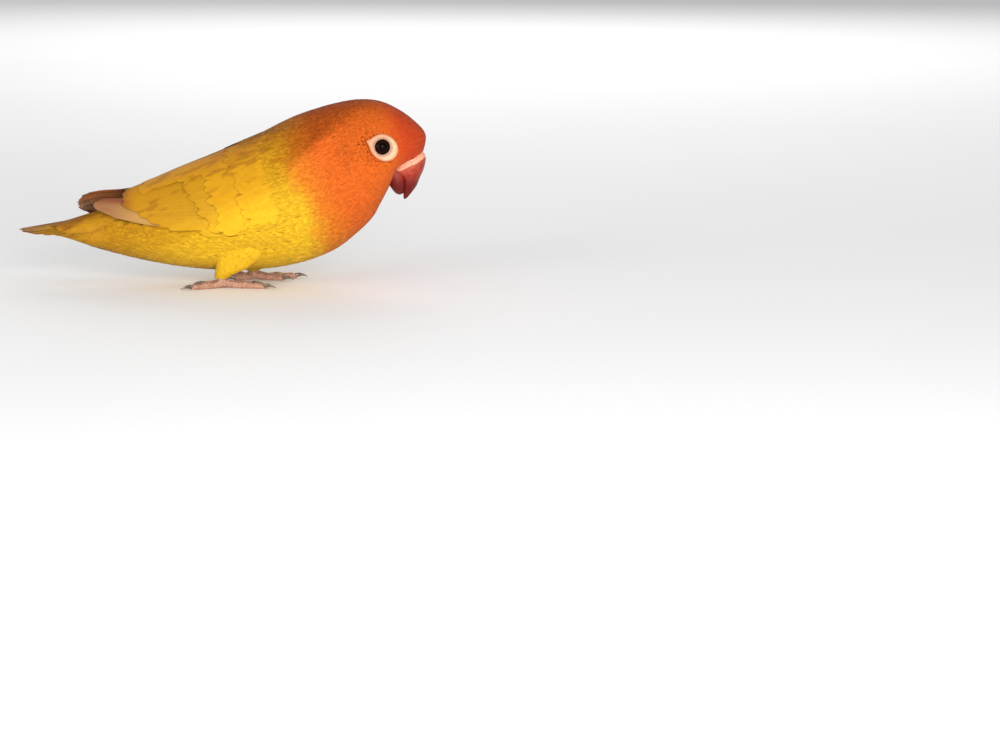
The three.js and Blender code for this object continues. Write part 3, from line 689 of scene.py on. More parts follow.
TUFT_PATCH = 0.003  # a small feather's share of the map for baking
rng = np.random.default_rng(11)
roots = scatter(on_plumage, np.linspace(TAIL_END, FACE, 500), np.linspace(0, 2 * np.pi, 361), body_spacing,
                bare_of_wing, crowd=1.25)
spacing = body_spacing(roots[:, 0], roots[:, 1])
edge, part = off_ring(on_body(roots[:, 0], roots[:, 1]))
way = unit(unit(-slopes(on_plumage, roots)[0]) + part, 0.3)
length = spacing * rng.uniform(2.9, 3.6, len(roots))
length = np.where(edge < 2 * MM, np.minimum(length, 0.8 * MM + 0.6 * edge), length)
tips = follow(on_plumage, roots, way, length)
tips[:, 1] += rng.normal(0, 0.08, len(roots)) * length / (14 * MM)
depth = coat_depth(roots[:, 0])
heights = layered(-depth - 0.1 * MM, -0.15 * depth, rng.uniform(-0.01, 0.01, len(roots)) * spacing)

COAT_PARTS = {
    # from and to station
    "coat_vent": (0, 4.9),
    "coat_flanks": (4.9, 6.6),
    "coat_belly": (6.6, 8.2),
    "coat_breast": (8.2, 9.6),
    "coat_neck": (9.6, 11.2),
    "coat_nape": (11.2, 12.7),
    "coat_head": (12.7, 14.3),
    "coat_face": (14.3, FACE),
}


def between(first, last, share):
    """The mix of two values, the first at share 0 and the last at 1."""
    return first + (last - first) * share


def fringe(name, surface, roots, tips, spacing, rng):
    """Loose barbs over small feathers, two to each: thin tapered tufts that start beside the middle of a
    feather, fan out a little from its way and end past its tip."""
    twice = np.repeat(np.arange(len(roots)), 2)
    root, tip, size = roots[twice], tips[twice], spacing[twice]
    way = surface(*tip.T, 0.0) - surface(*root.T, 0.0)
    length = np.linalg.norm(way, axis=-1)
    way /= length[:, None]
    beside = unit(np.cross(way, np.cross(*slopes(surface, root))))
    start = between(root, tip, rng.uniform(0.3, 0.75, (len(root), 1)))
    start = follow(surface, start, beside, rng.uniform(-0.6, 0.6, len(root)) * size)
    fan = rng.normal(0, 0.16, (len(root), 1))
    end = follow(surface, start, way + fan * beside, length * rng.uniform(0.5, 0.7, len(root)))
    heights = layered(-0.5 * size, -0.07 * MM, 0.03 * size)
    return grow(name, surface, start, end, 0.36 * size, heights, BARB, rng, grid=(3, 2), arch=0.05,
                patch=TUFT_PATCH)


coat = []
for name, (first, last) in COAT_PARTS.items():
    chosen = (roots[:, 0] > first) & (roots[:, 0] <= last)
    layers = [
        grow(name, on_plumage, roots[chosen], tips[chosen], (1.6 * spacing)[chosen], heights[chosen], CONTOUR,
             rng, grid=(5, 4), arch=0.05, dip=0.08 * MM, ragged=0.1, patch=TUFT_PATCH),
        fringe(name.replace("coat", "barbs"), on_plumage, roots[chosen], tips[chosen], spacing[chosen], rng),
    ]
    for piece in layers:
        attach(piece, "root")
    coat += layers


coat_finish = Finish("soft_plumage", Roughness=0.8, Specular_IOR_Level=0.12, Sheen_Weight=0.06)
across, along, tone = coat_finish.vane()
barbs = (along * 26 - (across - 0.5).math("ABSOLUTE") * 14).wave()
light = 0.7 + along * 0.14 + (tone - 0.5) * 0.07 + barbs * 0.015
coat_finish.feed(
    Base_Color=plumage(coat_finish.place).dim(light),
    Normal=barbs.bump(0.005 * MM, Normal=coat_finish.soft_normal(0.75)),
)
coat_finish.paint(*coat)


# Feathers of the thighs: the same small soft vanes, lying down each leg to its ankle and thinning over the
# flank, where the thigh goes into the body's own coat.
THIGH_SPACING = 1.3 * MM
THIGH_SUNK = 2 * MM  # by which its feathers' roots may lie inside the body's outline


def station_at(x):
    """The station whose section is centred at x, read off a fine row of sections."""
    fine = np.linspace(0, FACE, 400)
    centres = spline(OUTLINE, fine)
    return np.interp(x, (centres[:, 0] + centres[:, 2]) / 2, fine)


def thigh_spacing(place, angle):
    """Distance between feather roots, a tenth less with each row of THIGH."""
    return THIGH_SPACING * (1 - 0.1 * place)


def clear_of_body(place, angle, points):
    """1 where feathers are rooted on the thigh: outside the body's oval sections, or at most THIGH_SUNK
    inside them, and between the thigh's ends."""
    sections = spline(OUTLINE, station_at(points[..., 0]))
    back_z, belly_z, half = np.moveaxis(sections[..., [1, 3, 4]], -1, 0)
    tall = (back_z - belly_z) / 2
    ratio = np.hypot(points[..., 1] / half, (points[..., 2] - (back_z + belly_z) / 2) / tall)
    return ((ratio > 1 - THIGH_SUNK / half) & (place > 0.9) & (place < 5.7)).astype(float)


thigh_coat = []
for name, (side, ankle) in LEGS.items():
    def surface(place, angle, height, side=side, ankle=ankle):
        return on_thigh(side, ankle, place, angle, height)

    roots = scatter(surface, np.linspace(0.9, 5.8, 120), np.linspace(0, 2 * np.pi, 121), thigh_spacing,
                    clear_of_body, crowd=1.3)
    down = unit(slopes(surface, roots)[0])
    size = thigh_spacing(*roots.T)
    tips = follow(surface, roots, down, size * rng.uniform(2.8, 3.4, len(roots)))
    tips[:, 1] += rng.normal(0, 0.06, len(roots))
    tips[:, 0] = np.minimum(tips[:, 0], 6.15)

    heights = layered(-THIGH_COAT, -0.15 * THIGH_COAT, rng.uniform(-0.01, 0.01, len(roots)) * MM)
    layers = [
        grow("coat_thigh_" + name, surface, roots, tips, 1.4 * size, heights, CONTOUR, rng, grid=(5, 4),
             arch=0.05, dip=0.08 * MM, patch=TUFT_PATCH),
        fringe("barbs_thigh_" + name, surface, roots, tips, size, rng),
    ]
    for piece in layers:
        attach(piece, "root")
    thigh_coat += layers
coat_finish.paint(*thigh_coat)


# Wings: folded over the flanks. The arm is flesh and skin under the vanes. Long stiff primaries and
# secondaries come from under rows of coverts, and small lesser coverts lie over the shoulder.
def on_wing(side):
    """The folded wing's outer face: across runs from 0 at its upper edge to 1 at its lower edge, as an angle
    from the back."""
    def surface(station, across, height):
        angle = side * between(*wing_edges(station), across)
        return on_body(station, angle, height, wing_share(station, across))
    return surface


def quads(index):
    """The four-cornered faces of a grid of point numbers."""
    corners = index[:-1, :-1], index[:-1, 1:], index[1:, 1:], index[1:, :-1]
    return np.stack([c.ravel() for c in corners], -1)


def slab(name, outer, inner):
    """A closed sheet between two grids of points with the same rows and columns."""
    index = np.arange(outer[..., 0].size).reshape(outer.shape[:2])
    rim = np.concatenate([index[0, :-1], index[:-1, -1], index[-1, :0:-1], index[:0:-1, 0]])
    after = np.roll(rim, -1)
    edge = np.stack([after, rim, rim + index.size, after + index.size], -1)
    points = np.concatenate([outer.reshape(-1, 3), inner.reshape(-1, 3)])
    return new_piece(name, points, [quads(index), quads(index + index.size)[:, ::-1], edge])


WING_ROWS = {
    # count, outline, width, three heights, tilt, ridge, ragged edge, mesh grid, then for the lowest and the
    # highest feather the root's x and place across, and the tip's
    "primaries": (10, QUILL, 4.0, (-1.5, -1.2, -0.9), 0.1, 0.1, 0.008, (20, 8),
                  (-13, 0.9, -41, 1.0), (-18, 0.5, -38, 0.12)),
    "secondaries": (22, QUILL, 5.0, (-1.6, -0.6, -0.45), 0.04, 0.03, 0.02, (18, 8),
                    (-2, 0.87, -19, 0.92), (-8, 0.08, -33, 0.09)),
    "primary_coverts": (5, COVERT, 4.0, (-1.8, -0.9, -0.7), 0.06, 0.04, 0.02, (12, 8),
                        (5, 0.96, -6, 0.97), (1, 0.86, -9, 0.88)),
    "greater_coverts": (22, COVERT, 5.0, (-1.7, -0.52, -0.42), 0.03, 0.02, 0.04, (14, 8),
                        (9, 0.87, -4, 0.92), (-2, 0.07, -17, 0.08)),
}
PRIMARY_TIPS = {
    # x of the tips from the lowest primary up, the places across of the lowest and the highest, and their
    # height: the farther wing tip reaches further back and lies over the rump, the nearer one lies beside it
    "left": ([-48, -49.6, -50.4, -50.6, -50.6, -50.2, -49.6, -48.8, -47.6, -46], 1.0, 0.03, 1.1),
    "right": ([-39, -41.5, -43, -43.8, -44, -44, -43.9, -43.8, -43.6, -43.4], 0.84, 0.5, -0.9),
}
WINGS = {"left": 1, "right": -1}

SMALL_COVERTS = {
    # three heights, spacing, and x of the roots at the wing's upper and lower edge, from behind to in front,
    # then the length and the width
    "median_coverts": ((-1.5, -0.32, -0.24), 2.2, (-3, 8), (7, 17), 9.0, 3.8),
    "lesser_coverts": ((-1.5, -0.14, 0.0), 1.7, (4, 15), (60, 60), 6.0, 2.8),
}


def inside_line(first, last):
    """A test of places on the wing: 1 between two slanting lines of x and ahead of the free lower edge."""
    def keep(station, across, points):
        x = points[..., 0]
        inside = (x > between(*first, across) * MM) & (x < between(*last, across) * MM)
        return (inside & (station < 9.1) & (across < between(1.0, 0.9, (station - 5.5) / 4))).astype(float)
    return keep


wings = {"arm": [], "flight": [], "coverts": []}
for name, side in WINGS.items():
    surface = on_wing(side)
    s, a = np.meshgrid(np.linspace(4.2, 9.6, 40), np.linspace(0.05, 0.98, 24), indexing="ij")
    a = between(a, 0.62, 0.5 * ((s - 4.2) / 5.4) ** 8)
    outer = surface(s, a, -1.5 * MM * np.ones_like(s))
    inner = on_body(s, side * between(*wing_edges(s), a), -coat_depth(s) - 0.4 * MM)
    arm = slab("wing_arm_" + name, outer, inner)
    skin_finish.paint(arm)
    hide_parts("wing_" + name)
    wings["arm"].append(arm)
    for row, (count, outline, width, heights, tilt, ridge, ragged, grid, *ends) in WING_ROWS.items():
        share = (np.arange(count) / (count - 1))[:, None]
        root_x, root_across, tip_x, tip_across = between(*np.array(ends), share).T
        tip_x = tip_x * MM
        heights = MM * np.array(heights)
        if row == "primaries":
            tip_x, lowest, highest, level = PRIMARY_TIPS[name]
            tip_x = np.array(tip_x) * MM
            tip_across = between(lowest, highest, share[:, 0])
            heights = np.append(heights[:2], level * MM)
        if row == "secondaries":  # the lower ones end in steps, the upper ones level
            tip_x = (-18.5 - 15 * np.clip(share[:, 0] / 0.4, 0, 1) ** 0.7) * MM
        root = np.stack([station_at(root_x * MM), root_across], -1)
        uneven = rng.normal(0, 0.25 if row == "primaries" else 0.7, count) * MM
        tip = np.stack([station_at(tip_x + uneven), tip_across], -1)
        vanes = grow("%s_%s" % (row, name), surface, root, tip, width * MM, heights, outline, rng, grid=grid,
                     arch=0.02, tilt=tilt * MM, ridge=ridge * MM, dip=0.1 * MM, ragged=ragged)
        wings["flight" if outline is QUILL else "coverts"].append(vanes)
    for kind, (reach, spacing, first, last, length, width) in SMALL_COVERTS.items():
        roots = scatter(surface, np.linspace(4.6, 9.2, 180), np.linspace(0.02, 1.0, 90),
                        lambda s, a: np.full(np.shape(s), spacing * MM), inside_line(first, last), crowd=1.25)
        back = unit(-slopes(surface, roots)[0])
        tips = follow(surface, roots, back, length * MM * rng.uniform(0.93, 1.07, len(roots)))
        tips[:, 1] += rng.normal(0, 0.012, len(roots))
        vanes = grow("%s_%s" % (kind, name), surface, roots, tips, width * MM, MM * np.array(reach), COVERT,
                     rng, grid=(9, 4), arch=0.03, dip=0.2 * MM, ragged=0.04, patch=TUFT_PATCH)
        wings["coverts"].append(vanes)
for pieces in wings.values():
    for piece in pieces:
        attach(piece, "root")


def vane_finish(name, lines, colours):
    """Stiff feathers: a web of slanting barbs either side of a paler shaft. colours gives the colour from the
    place and the way along the vane."""
    finish = Finish(name, Roughness=0.65, Specular_IOR_Level=0.15)
    across, along, tone = finish.vane()
    side = (across - 0.5).math("ABSOLUTE")
    grain = finish.place.noise(1800.0, 3.0)
    barbs = (along * lines - side * (0.5 * lines) + grain * 0.8).wave()
    shaft = 1 - side.ramp(0.01, 0.045)
    light = 0.65 + along * 0.08 + (tone - 0.5) * 0.06 + barbs * 0.015 + (grain - 0.5) * 0.08 + shaft * 0.05
    finish.feed(
        Base_Color=colours(finish.place, along).dim(light),
        Normal=(barbs * 0.3 + shaft * 2).bump(0.02 * MM, Normal=finish.soft_normal(0.5)),
    )
    return finish


def flight_colours(place, along):
    """The primaries' pale pinkish edges lie in a band along the nearer wing tip, yellower in front. They are
    brown above it, and so is the farther wing tip, whose lowest edge over the rump is painted dark brown as
    painted shadow of the gap beneath it."""
    x, y, z = place.parts()
    pale = x.ramp_mm(-42, -24).mix(shade("b07850"), shade("d6a456"))
    brown = (z + x * 0.1 + (along - 0.5) * (2 * MM)).ramp_mm(24.6, 26.6)
    near = brown.mix(pale, shade("9a5636"))
    far = z.ramp_mm(26, 30).mix(shade("f0b890"), shade("f09450"))
    # Painted shadow: the farther wing's lowest edge goes dark brown, as the gap between it and the rump would
    # be in shadow.
    far = z.ramp_mm(23.6, 25.4).mix(shade("7c3a24"), far)
    return y.ramp_mm(-1, 1).mix(near, far)


def secondary_colours(place, along):
    """The plumage's yellow, going over into brown at the upper tips."""
    x, y, z = place.parts()
    tips = 1 - (x + z * 0.25 + (place.noise(300.0) - 0.5) * (4 * MM)).ramp_mm(-28.5, -21)
    high = z.ramp_mm(24.5, 27.5)
    return (tips * high).mix(plumage(place), shade("9c5628"))


covert_finish = vane_finish("wing_coverts", 40.0, lambda place, along: plumage(place))
for piece in wings["coverts"]:
    (coat_finish if piece.name[:6] in ("median", "lesser") else covert_finish).paint(piece)
secondary_finish = vane_finish("secondaries", 70.0, secondary_colours)
primary_finish = vane_finish("primaries", 100.0, flight_colours)
for piece in wings["flight"]:
    (primary_finish if piece.name.startswith("primaries") else secondary_finish).paint(piece)


# Scapulars: a fan of soft covert feathers on each side of the back, which lie over the wing's upper edge.
SCAPULAR_SPACING = 2.1 * MM
SCAPULAR_STATIONS = (4.2, 8.6)
scapulars = []


def over_wings(station, angle, height=0.0):
    """The plumage's outer face, on the wings as far back as they go."""
    return on_plumage(station, angle, height, rear=0)


for name, side in WINGS.items():
    def keep(station, angle, points, side=side):
        upper, _ = wing_edges(station)
        turn = side * angle
        behind, front = SCAPULAR_STATIONS
        return ((turn > 0.02) & (turn < upper + 0.5) & (station > behind) & (station < front)).astype(float)

    roots = scatter(over_wings, np.linspace(*SCAPULAR_STATIONS, 160), side * np.linspace(0.02, 1.3, 120),
                    lambda station, angle: np.full(np.shape(station), SCAPULAR_SPACING), keep, crowd=1.4)
    back = unit(-slopes(over_wings, roots)[0])
    tips = follow(over_wings, roots, back, rng.uniform(7.5, 9.0, len(roots)) * MM)
    tips[:, 1] += side * rng.normal(0.02, 0.03, len(roots))
    heights = layered(-1.4 * MM, -0.38 * MM, rng.uniform(-0.28, -0.22, len(roots)) * MM)
    piece = grow("scapulars_" + name, over_wings, roots, tips, 4.4 * MM, heights, COVERT, rng, grid=(8, 4),
                 arch=0.03, ridge=0.02 * MM, dip=0.2 * MM, ragged=0.04, patch=TUFT_PATCH)
    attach(piece, "root")
    scapulars.append(piece)
coat_finish.paint(*scapulars)


# Tail: twelve stiff feathers folded into a low roof, each pair below and outside the last, with soft coverts
# over and under their roots.
TAIL_ROOT, TAIL_TIP = -36.4 * MM, -70.6 * MM
TAIL_PAIRS = 6
TAIL_STEP, TAIL_ROOF = 0.42 * MM, 0.32
TAIL_WIDTH = 7.4 * MM


def on_tail(x, y, height):
    """The folded tail's upper face: a ridge line that rises by a sixth, with sides that fall as a roof."""
    ridge = 22.3 * MM + 0.17 * (x + 52 * MM)
    return np.stack([x, y, ridge - TAIL_ROOF * (np.hypot(y, MM) - MM) + height], -1)


pair = np.repeat(np.arange(TAIL_PAIRS), 2)
side = np.tile([1, -1], TAIL_PAIRS)
root = np.stack([np.full(len(pair), TAIL_ROOT), side * (0.7 + 0.3 * pair) * MM], -1)
tip = np.stack([TAIL_TIP + 0.6 * MM * pair * (pair + 1), side * (0.7 + pair) * MM], -1)
low = np.where(side > 0, 0, 0.2 * MM)  # each right feather's tip goes under the left one's
heights = layered(-TAIL_STEP * pair, -TAIL_STEP * pair, -TAIL_STEP * pair - low)
tail = grow("tail_feathers", on_tail, root, tip, TAIL_WIDTH, heights, Outline(0.62, 0.5, 4.5), rng,
            grid=(30, 12), arch=0.025, ridge=0.15 * MM, ragged=0.015)
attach(tail, "root")
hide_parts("tail")


def tail_colours(place, along):
    """Yellow at the root through buff to a pale pinkish tip, browner along the ridge, where painted shade
    also darkens it.
    """
    x, y, z = place.parts()
    blotch = (place.noise(220.0) - 0.5) * (8 * MM)
    tip = (1 - (x + blotch).ramp_mm(-71, -60)).mix(shade("cc922e"), shade("a87a60"))
    # Partly painted shade: the ridge is browner, and darker as the tail's top would be in shade.
    ridge = (1 - y.math("ABSOLUTE").ramp_mm(0.8, 3.4)) * (x.ramp_mm(-69, -62) * 0.85)
    return ridge.mix(tip, shade("8a5626"))


vane_finish("tail_feathers", 110.0, tail_colours).paint(tail)

TAIL_COVERTS = {
    # rows of count, root x, tip x, spread in degrees either side, width; and the middle angle from the back
    "upper_tail_coverts": (0, [(9, -45, -60, 80, 4.0), (11, -41, -55.5, 88, 4.4), (12, -37, -50.5, 90, 4.8),
                               (13, -33, -45.5, 90, 5.0)]),
    "under_tail_coverts": (180, [(9, -46, -60.5, 82, 4.0), (11, -43, -56.5, 88, 4.4), (12, -40, -53, 90, 4.8),
                                 (13, -36, -48.5, 90, 5.0), (14, -32, -43.5, 90, 5.0)]),
}


def round_tail(station, angle, height):
    """The tail coverts' outer face: the body's last stretch, swelling sideways by the square of the sine to
    go round the tail feathers, and closing up to them from below by a cosine."""
    swell = 1.2 * MM * smooth((2.6 - station) / 1.6) * np.sin(angle) ** 2
    close = 1.3 * MM * smooth((2 - station) / 1.8) * np.clip(-np.cos(angle), 0, 1)
    return on_body(station, angle, height + swell - close)


for name, (middle, rows) in TAIL_COVERTS.items():
    fans = []
    for count, start, end, spread, width in rows:
        across = np.radians(spread) * np.linspace(-1, 1, count)
        end = end + 3 * np.linspace(-1, 1, count) ** 2 + rng.normal(0, 0.9, count)
        fans.append(np.stack([np.full(count, station_at(start * MM)), np.radians(middle) + across,
                              station_at(end * MM), np.radians(middle) + 0.8 * across,
                              np.full(count, width)], -1))
    fans = np.concatenate(fans)
    piece = grow(name + "_vanes", round_tail, fans[:, :2], fans[:, 2:4], fans[:, 4] * MM,
                 MM * np.array([-1.1, -0.25, 0.0]), COVERT, rng, grid=(12, 6), ridge=0.03 * MM, dip=0.12 * MM,
                 ragged=0.04, patch=TUFT_PATCH)
    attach(piece, "root")
    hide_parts(name)
    covert_finish.paint(piece)


# Eyes: glass eyes behind soft bare lids. Each is a dark brown ball with a slight bulge over the pupil.
EYE_RADIUS, EYE_DEPTH, EYE_OPENING = 3.6 * MM, 2.6 * MM, 2.6 * MM
EYE_ROWS, EYE_CORNERS = 40, 48


def placed(side, u, v, out):
    """Points in an eye's frame, with u towards the bill, v up and out along its axis, in the bird's."""
    middle, forward, up, axis = eye_frame(side)
    return middle + u[..., None] * forward + v[..., None] * up + out[..., None] * axis


def eyeball(side):
    """A sphere by its angle from the axis and its turn round it, raised a little near the axis."""
    polar, turn = np.linspace(0.03, np.pi - 0.03, EYE_ROWS)[:, None], turns(EYE_CORNERS)
    radius = EYE_RADIUS + 0.22 * MM * np.exp(-((polar / 0.42) ** 2))
    flat = radius * np.sin(polar)
    out = radius * np.cos(polar) + 0 * turn - EYE_DEPTH
    return placed(side, flat * np.cos(turn), flat * np.sin(turn), out)


def ring_shares(shares, corners):
    """A share for each point of a tube: one to each ring, then 0 and 1 for the middles of its ends."""
    return np.append(np.repeat(shares, corners), [0, 1])


eye_finish = Finish("dark_glass_eye", Roughness=0.03, Specular_IOR_Level=0.06)
for name, side in WINGS.items():
    eye = tube("glass_eye_" + name, eyeball(side))
    carry(eye, "from_axis", ring_shares(np.linspace(0, 1, EYE_ROWS), EYE_CORNERS))
    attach(eye, "root")
    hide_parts("eye_" + name)
    eye_finish.paint(eye)
from_axis = eye_finish.attribute("from_axis")
iris = from_axis.ramp(0.12, 0.15) * (1 - from_axis.ramp(0.2, 0.26))
fleck = iris * (0.5 + eye_finish.place.noise(2500.0))
eye_finish.feed(Base_Color=fleck.mix(shade("0c0302"), shade("220c06")))


# Eye rings: the bare fleshy white ring round each eye, with fine creases round it, a rolled edge of the lids
# and a soft corner behind the eye. It is cast and set into the skin.
CHEEK_CURVE = (34 * MM, 20 * MM)  # radii of the head's side along and down
LIDS = np.array([
    # share of the way from the lids to the ring's outline, and height over the head's side
    [0.5, -1.1], [0.04, 0.4], [0.06, 0.8], [0.22, 0.85], [0.38, 0.45], [0.72, 0.5], [0.96, 0.25], [1, -0.1],
    [0.94, -1.1],
])
LID_ROWS, LID_CORNERS = 72, 128


def profile(rows, count):
    """The rows' values at evenly spaced places along the curve through them."""
    return spline(rows, np.linspace(0, len(rows) - 1, count))


def eye_ring(side):
    """The profile of the lids carried round the eye: share mixes a circle round the opening and the ring's
    outline. Creases run round it and cross it in a fine uneven pattern."""
    share, height = np.moveaxis(profile(LIDS, LID_ROWS), -1, 0)[..., None]
    height = height * MM
    turn = turns(LID_CORNERS)
    outline = ring_radius(turn)
    u = between(EYE_OPENING * np.cos(turn), RING_SHIFT[0] + outline * np.cos(turn), share)
    v = between(EYE_OPENING * np.sin(turn), RING_SHIFT[1] + outline * np.sin(turn), share)
    shown = np.clip(share * 6, 0, 1) * np.clip((1 - share) * 5, 0, 1) * (height > 0)
    crease = 0.045 * np.sin(share * 34 + 0.8 * np.sin(3 * turn)) + 0.03 * np.sin(23 * turn + 9 * share)
    drop = u**2 / (2 * CHEEK_CURVE[0]) + v**2 / (2 * CHEEK_CURVE[1])
    return placed(side, u, v, height + shown * crease * MM - drop)


def hoop(name, rings):
    """A closed ring through a profile whose last row joins its first."""
    rows, corners = rings.shape[:2]
    index = np.arange(rows * corners).reshape(rows, corners)
    index = np.vstack([index, index[:1]])
    index = np.hstack([index, index[:, :1]])
    return new_piece(name, rings, [quads(index)])


ring_finish = Finish("bare_eye_ring", Roughness=0.5, Specular_IOR_Level=0.25)
for name, side in WINGS.items():
    ring = hoop("bare_ring_" + name, eye_ring(side))
    carry(ring, "share", np.repeat(profile(LIDS, LID_ROWS)[:, 0], LID_CORNERS))
    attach(ring, "root")
    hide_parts("eye_ring_" + name)
    ring_finish.paint(ring)
share = ring_finish.attribute("share")
grain = ring_finish.place.noise(2600.0, 3.0)
lid = 1 - (share + (grain - 0.5) * 0.7).ramp(0.14, 0.36)
outer = (share + (grain - 0.5) * 0.2).ramp(0.62, 1.0)
x, y, z = ring_finish.place.parts()
front = (x - z * 0.35 + (grain - 0.5) * (2 * MM)).ramp_mm(38.3, 41.5)
pale = front.mix(shade("cf9a7a"), shade("dab28e"))
pale = (lid * 0.7).mix(pale, shade("84685c"))
ring_finish.feed(
    Base_Color=(outer * 0.8).mix(pale, shade("c47e54")),
    Normal=(grain + ring_finish.place.noise(900.0)).bump(0.12 * MM),
)


# Cere: the low soft collar between the feathers of the face and the upper bill, with a nostril on each side.
CERE_GAP, CERE_LENGTH = 0.3 * MM, 1.3 * MM
NOSTRIL = MM * np.array([68.6, 3.5, 45.4])
NOSTRIL_RADIUS = 0.42 * MM
CERE_LUMPS = [(0.14, 5, 0.6), (0.08, 11, 2.0), (0.04, 19, 0.0)]  # height, waves round the cere, their start


def face_section(distance, swell):
    """A section that stands off the plane of the face: ridge x and z, edge x and z, half width."""
    back_x, back_z, belly_x, belly_z, half = OUTLINE[FACE, :5]
    out = np.array([back_z - belly_z, belly_x - back_x])
    out /= np.hypot(*out)
    ridge = np.array([back_x, back_z]) + out * distance + np.array([0.3, 1]) * swell
    return np.array([*ridge, *(np.array([belly_x, belly_z]) + out * distance), half + swell])


def bill_ring(sections, turn, flat=0):
    """Rings of the bill: an oval from the inner edge to the outer ridge, squarer where the two halves meet,
    on the inner side for flat below 0 and on the outer side for flat above, by as much as its size says."""
    ridge_x, ridge_z, edge_x, edge_z, half = np.moveaxis(sections[:, None], -1, 0)
    c, s = np.cos(turn), np.sin(turn)
    s = np.where(flat * c > 0, np.sign(s) * np.abs(s) ** (1 - 0.5 * abs(flat)), s)
    x = (ridge_x + edge_x) / 2 + (ridge_x - edge_x) / 2 * c
    z = (ridge_z + edge_z) / 2 + (ridge_z - edge_z) / 2 * c
    return np.stack([x, half * s, z], -1)


CERE_ROWS = np.array([
    face_section(-0.4 * MM, 0.1 * MM),
    face_section(CERE_GAP, 0.2 * MM),
    face_section(CERE_GAP + 0.3 * CERE_LENGTH, 0.42 * MM),
    face_section(CERE_GAP + 0.75 * CERE_LENGTH, 0.4 * MM),
    face_section(CERE_GAP + CERE_LENGTH, 0.08 * MM),
    face_section(CERE_GAP + CERE_LENGTH, -0.6 * MM),
])
CERE_SQUARENESS = -0.6
turn = turns(120)
rings = bill_ring(profile(CERE_ROWS, 40), turn, CERE_SQUARENESS)
lumps = sum(height * np.sin(waves * turn + start) for height, waves, start in CERE_LUMPS)
rings += (lumps * MM)[..., None] * np.array([0.55, 0, -0.84])
for side in (1, -1):
    apart = rings - NOSTRIL * [1, side, 1]
    near = np.exp(-dot(apart, apart) / NOSTRIL_RADIUS**2)
    rings = rings + near[..., None] * np.array([-0.5, -0.6 * side, -0.3]) * MM
cere = tube("soft_cere", rings)
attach(cere, "root")
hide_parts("cere")
cere_finish = Finish("soft_cere", Roughness=0.5, Specular_IOR_Level=0.25)
grain = cere_finish.place.noise(2400.0, 3.0)
x, y, z = cere_finish.place.parts()
# Painted shade: each nostril is painted dark brown for the shade inside its opening, which the mesh only
# dents.
hole = ((x - NOSTRIL[0]).math("POWER", 2) + (y.math("ABSOLUTE") - NOSTRIL[1]).math("POWER", 2)
        + (z - NOSTRIL[2]).math("POWER", 2)).math("SQRT")
flesh = grain.ramp(0.3, 0.7).mix(shade("d8866a"), shade("f0ba98"))
cere_finish.feed(
    Base_Color=(1 - hole.ramp_mm(0.25, 0.6)).mix(flesh, shade("6a3226")),
    Normal=grain.bump(0.15 * MM),
)
cere_finish.paint(cere)


# Bill: two horny halves over bone. The upper one hooks down over the lower, with thin growth lines across it
# and a worn paler ridge.
UPPER_BILL = np.vstack([face_section(0.9 * MM, -0.1 * MM), face_section(1.9 * MM, 0), MM * np.array([
    [70.0, 42.0, 61.9, 37.3, 4.8],
    [69.3, 39.5, 62.5, 36.0, 4.2],
    [68.1, 36.9, 62.6, 34.5, 3.4],
    [67.0, 34.2, 62.5, 32.9, 2.5],
    [65.3, 31.8, 62.4, 31.2, 1.5],
    [63.7, 29.9, 62.5, 29.7, 0.5],
    [63.1, 29.5, 62.8, 29.45, 0.15],
])])
LOWER_BILL = MM * np.array([
    [61.6, 40.9, 56.6, 37.2, 4.5],
    [62.6, 37.6, 57.6, 34.4, 4.3],
    [63.1, 35.2, 58.8, 32.5, 3.6],
    [63.1, 33.6, 59.9, 31.4, 2.7],
    [62.9, 32.1, 61.0, 31.0, 1.5],
    [62.7, 31.6, 61.4, 31.2, 0.7],
])
BILL_ROWS, BILL_CORNERS = 90, 72
bill_finish = Finish("coral_horn", Specular_IOR_Level=0.2, Coat_Weight=0.04, Coat_Roughness=0.15)
for name, rows, flat in (("upper", UPPER_BILL, -1), ("lower", LOWER_BILL, 1)):
    horn = tube(name + "_bill_horn", bill_ring(profile(rows, BILL_ROWS), turns(BILL_CORNERS), flat))
    carry(horn, "grown", ring_shares(np.linspace(0, 1, BILL_ROWS), BILL_CORNERS))
    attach(horn, "root")
    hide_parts(name + "_bill")
    bill_finish.paint(horn)
x, y, z = bill_finish.place.parts()
grown = bill_finish.attribute("grown")
cloud = bill_finish.place.noise(700.0, 3.0)
lines = (grown * 30 + cloud * 3).wave()
worn = (cloud + grown * 0.3).ramp(0.45, 0.75)
coral = worn.mix(shade("ae4030"), shade("942c20"))
pale = (1 - grown.ramp(0.08, 0.3)) * 0.5
ridge = (x + z * 0.3).ramp_mm(78, 82) * 0.4
coral = ridge.mix(pale.mix(coral, shade("c8644a")), shade("86301c"))
# Partly painted shade: towards the face and below, the bill's own darker red is deepened as if in shade.
lower = (1 - (x + z * 0.3).ramp_mm(71.5, 74)) * 0.85
coral = lower.mix(coral, shade("84201c"))
# Partly painted shadow: the bill darkens to maroon towards its bottom, its own darker tip deepened as if in
# shadow.
maroon_and_shadow = (1 - (z + cloud * (2 * MM)).ramp_mm(34.5, 41)) * 0.9
bill_finish.feed(
    Base_Color=maroon_and_shadow.mix(coral, shade("5c0e08")),
    Roughness=0.26 + cloud * 0.2,
    Normal=(lines * 0.3 + cloud).bump(0.05 * MM),
)


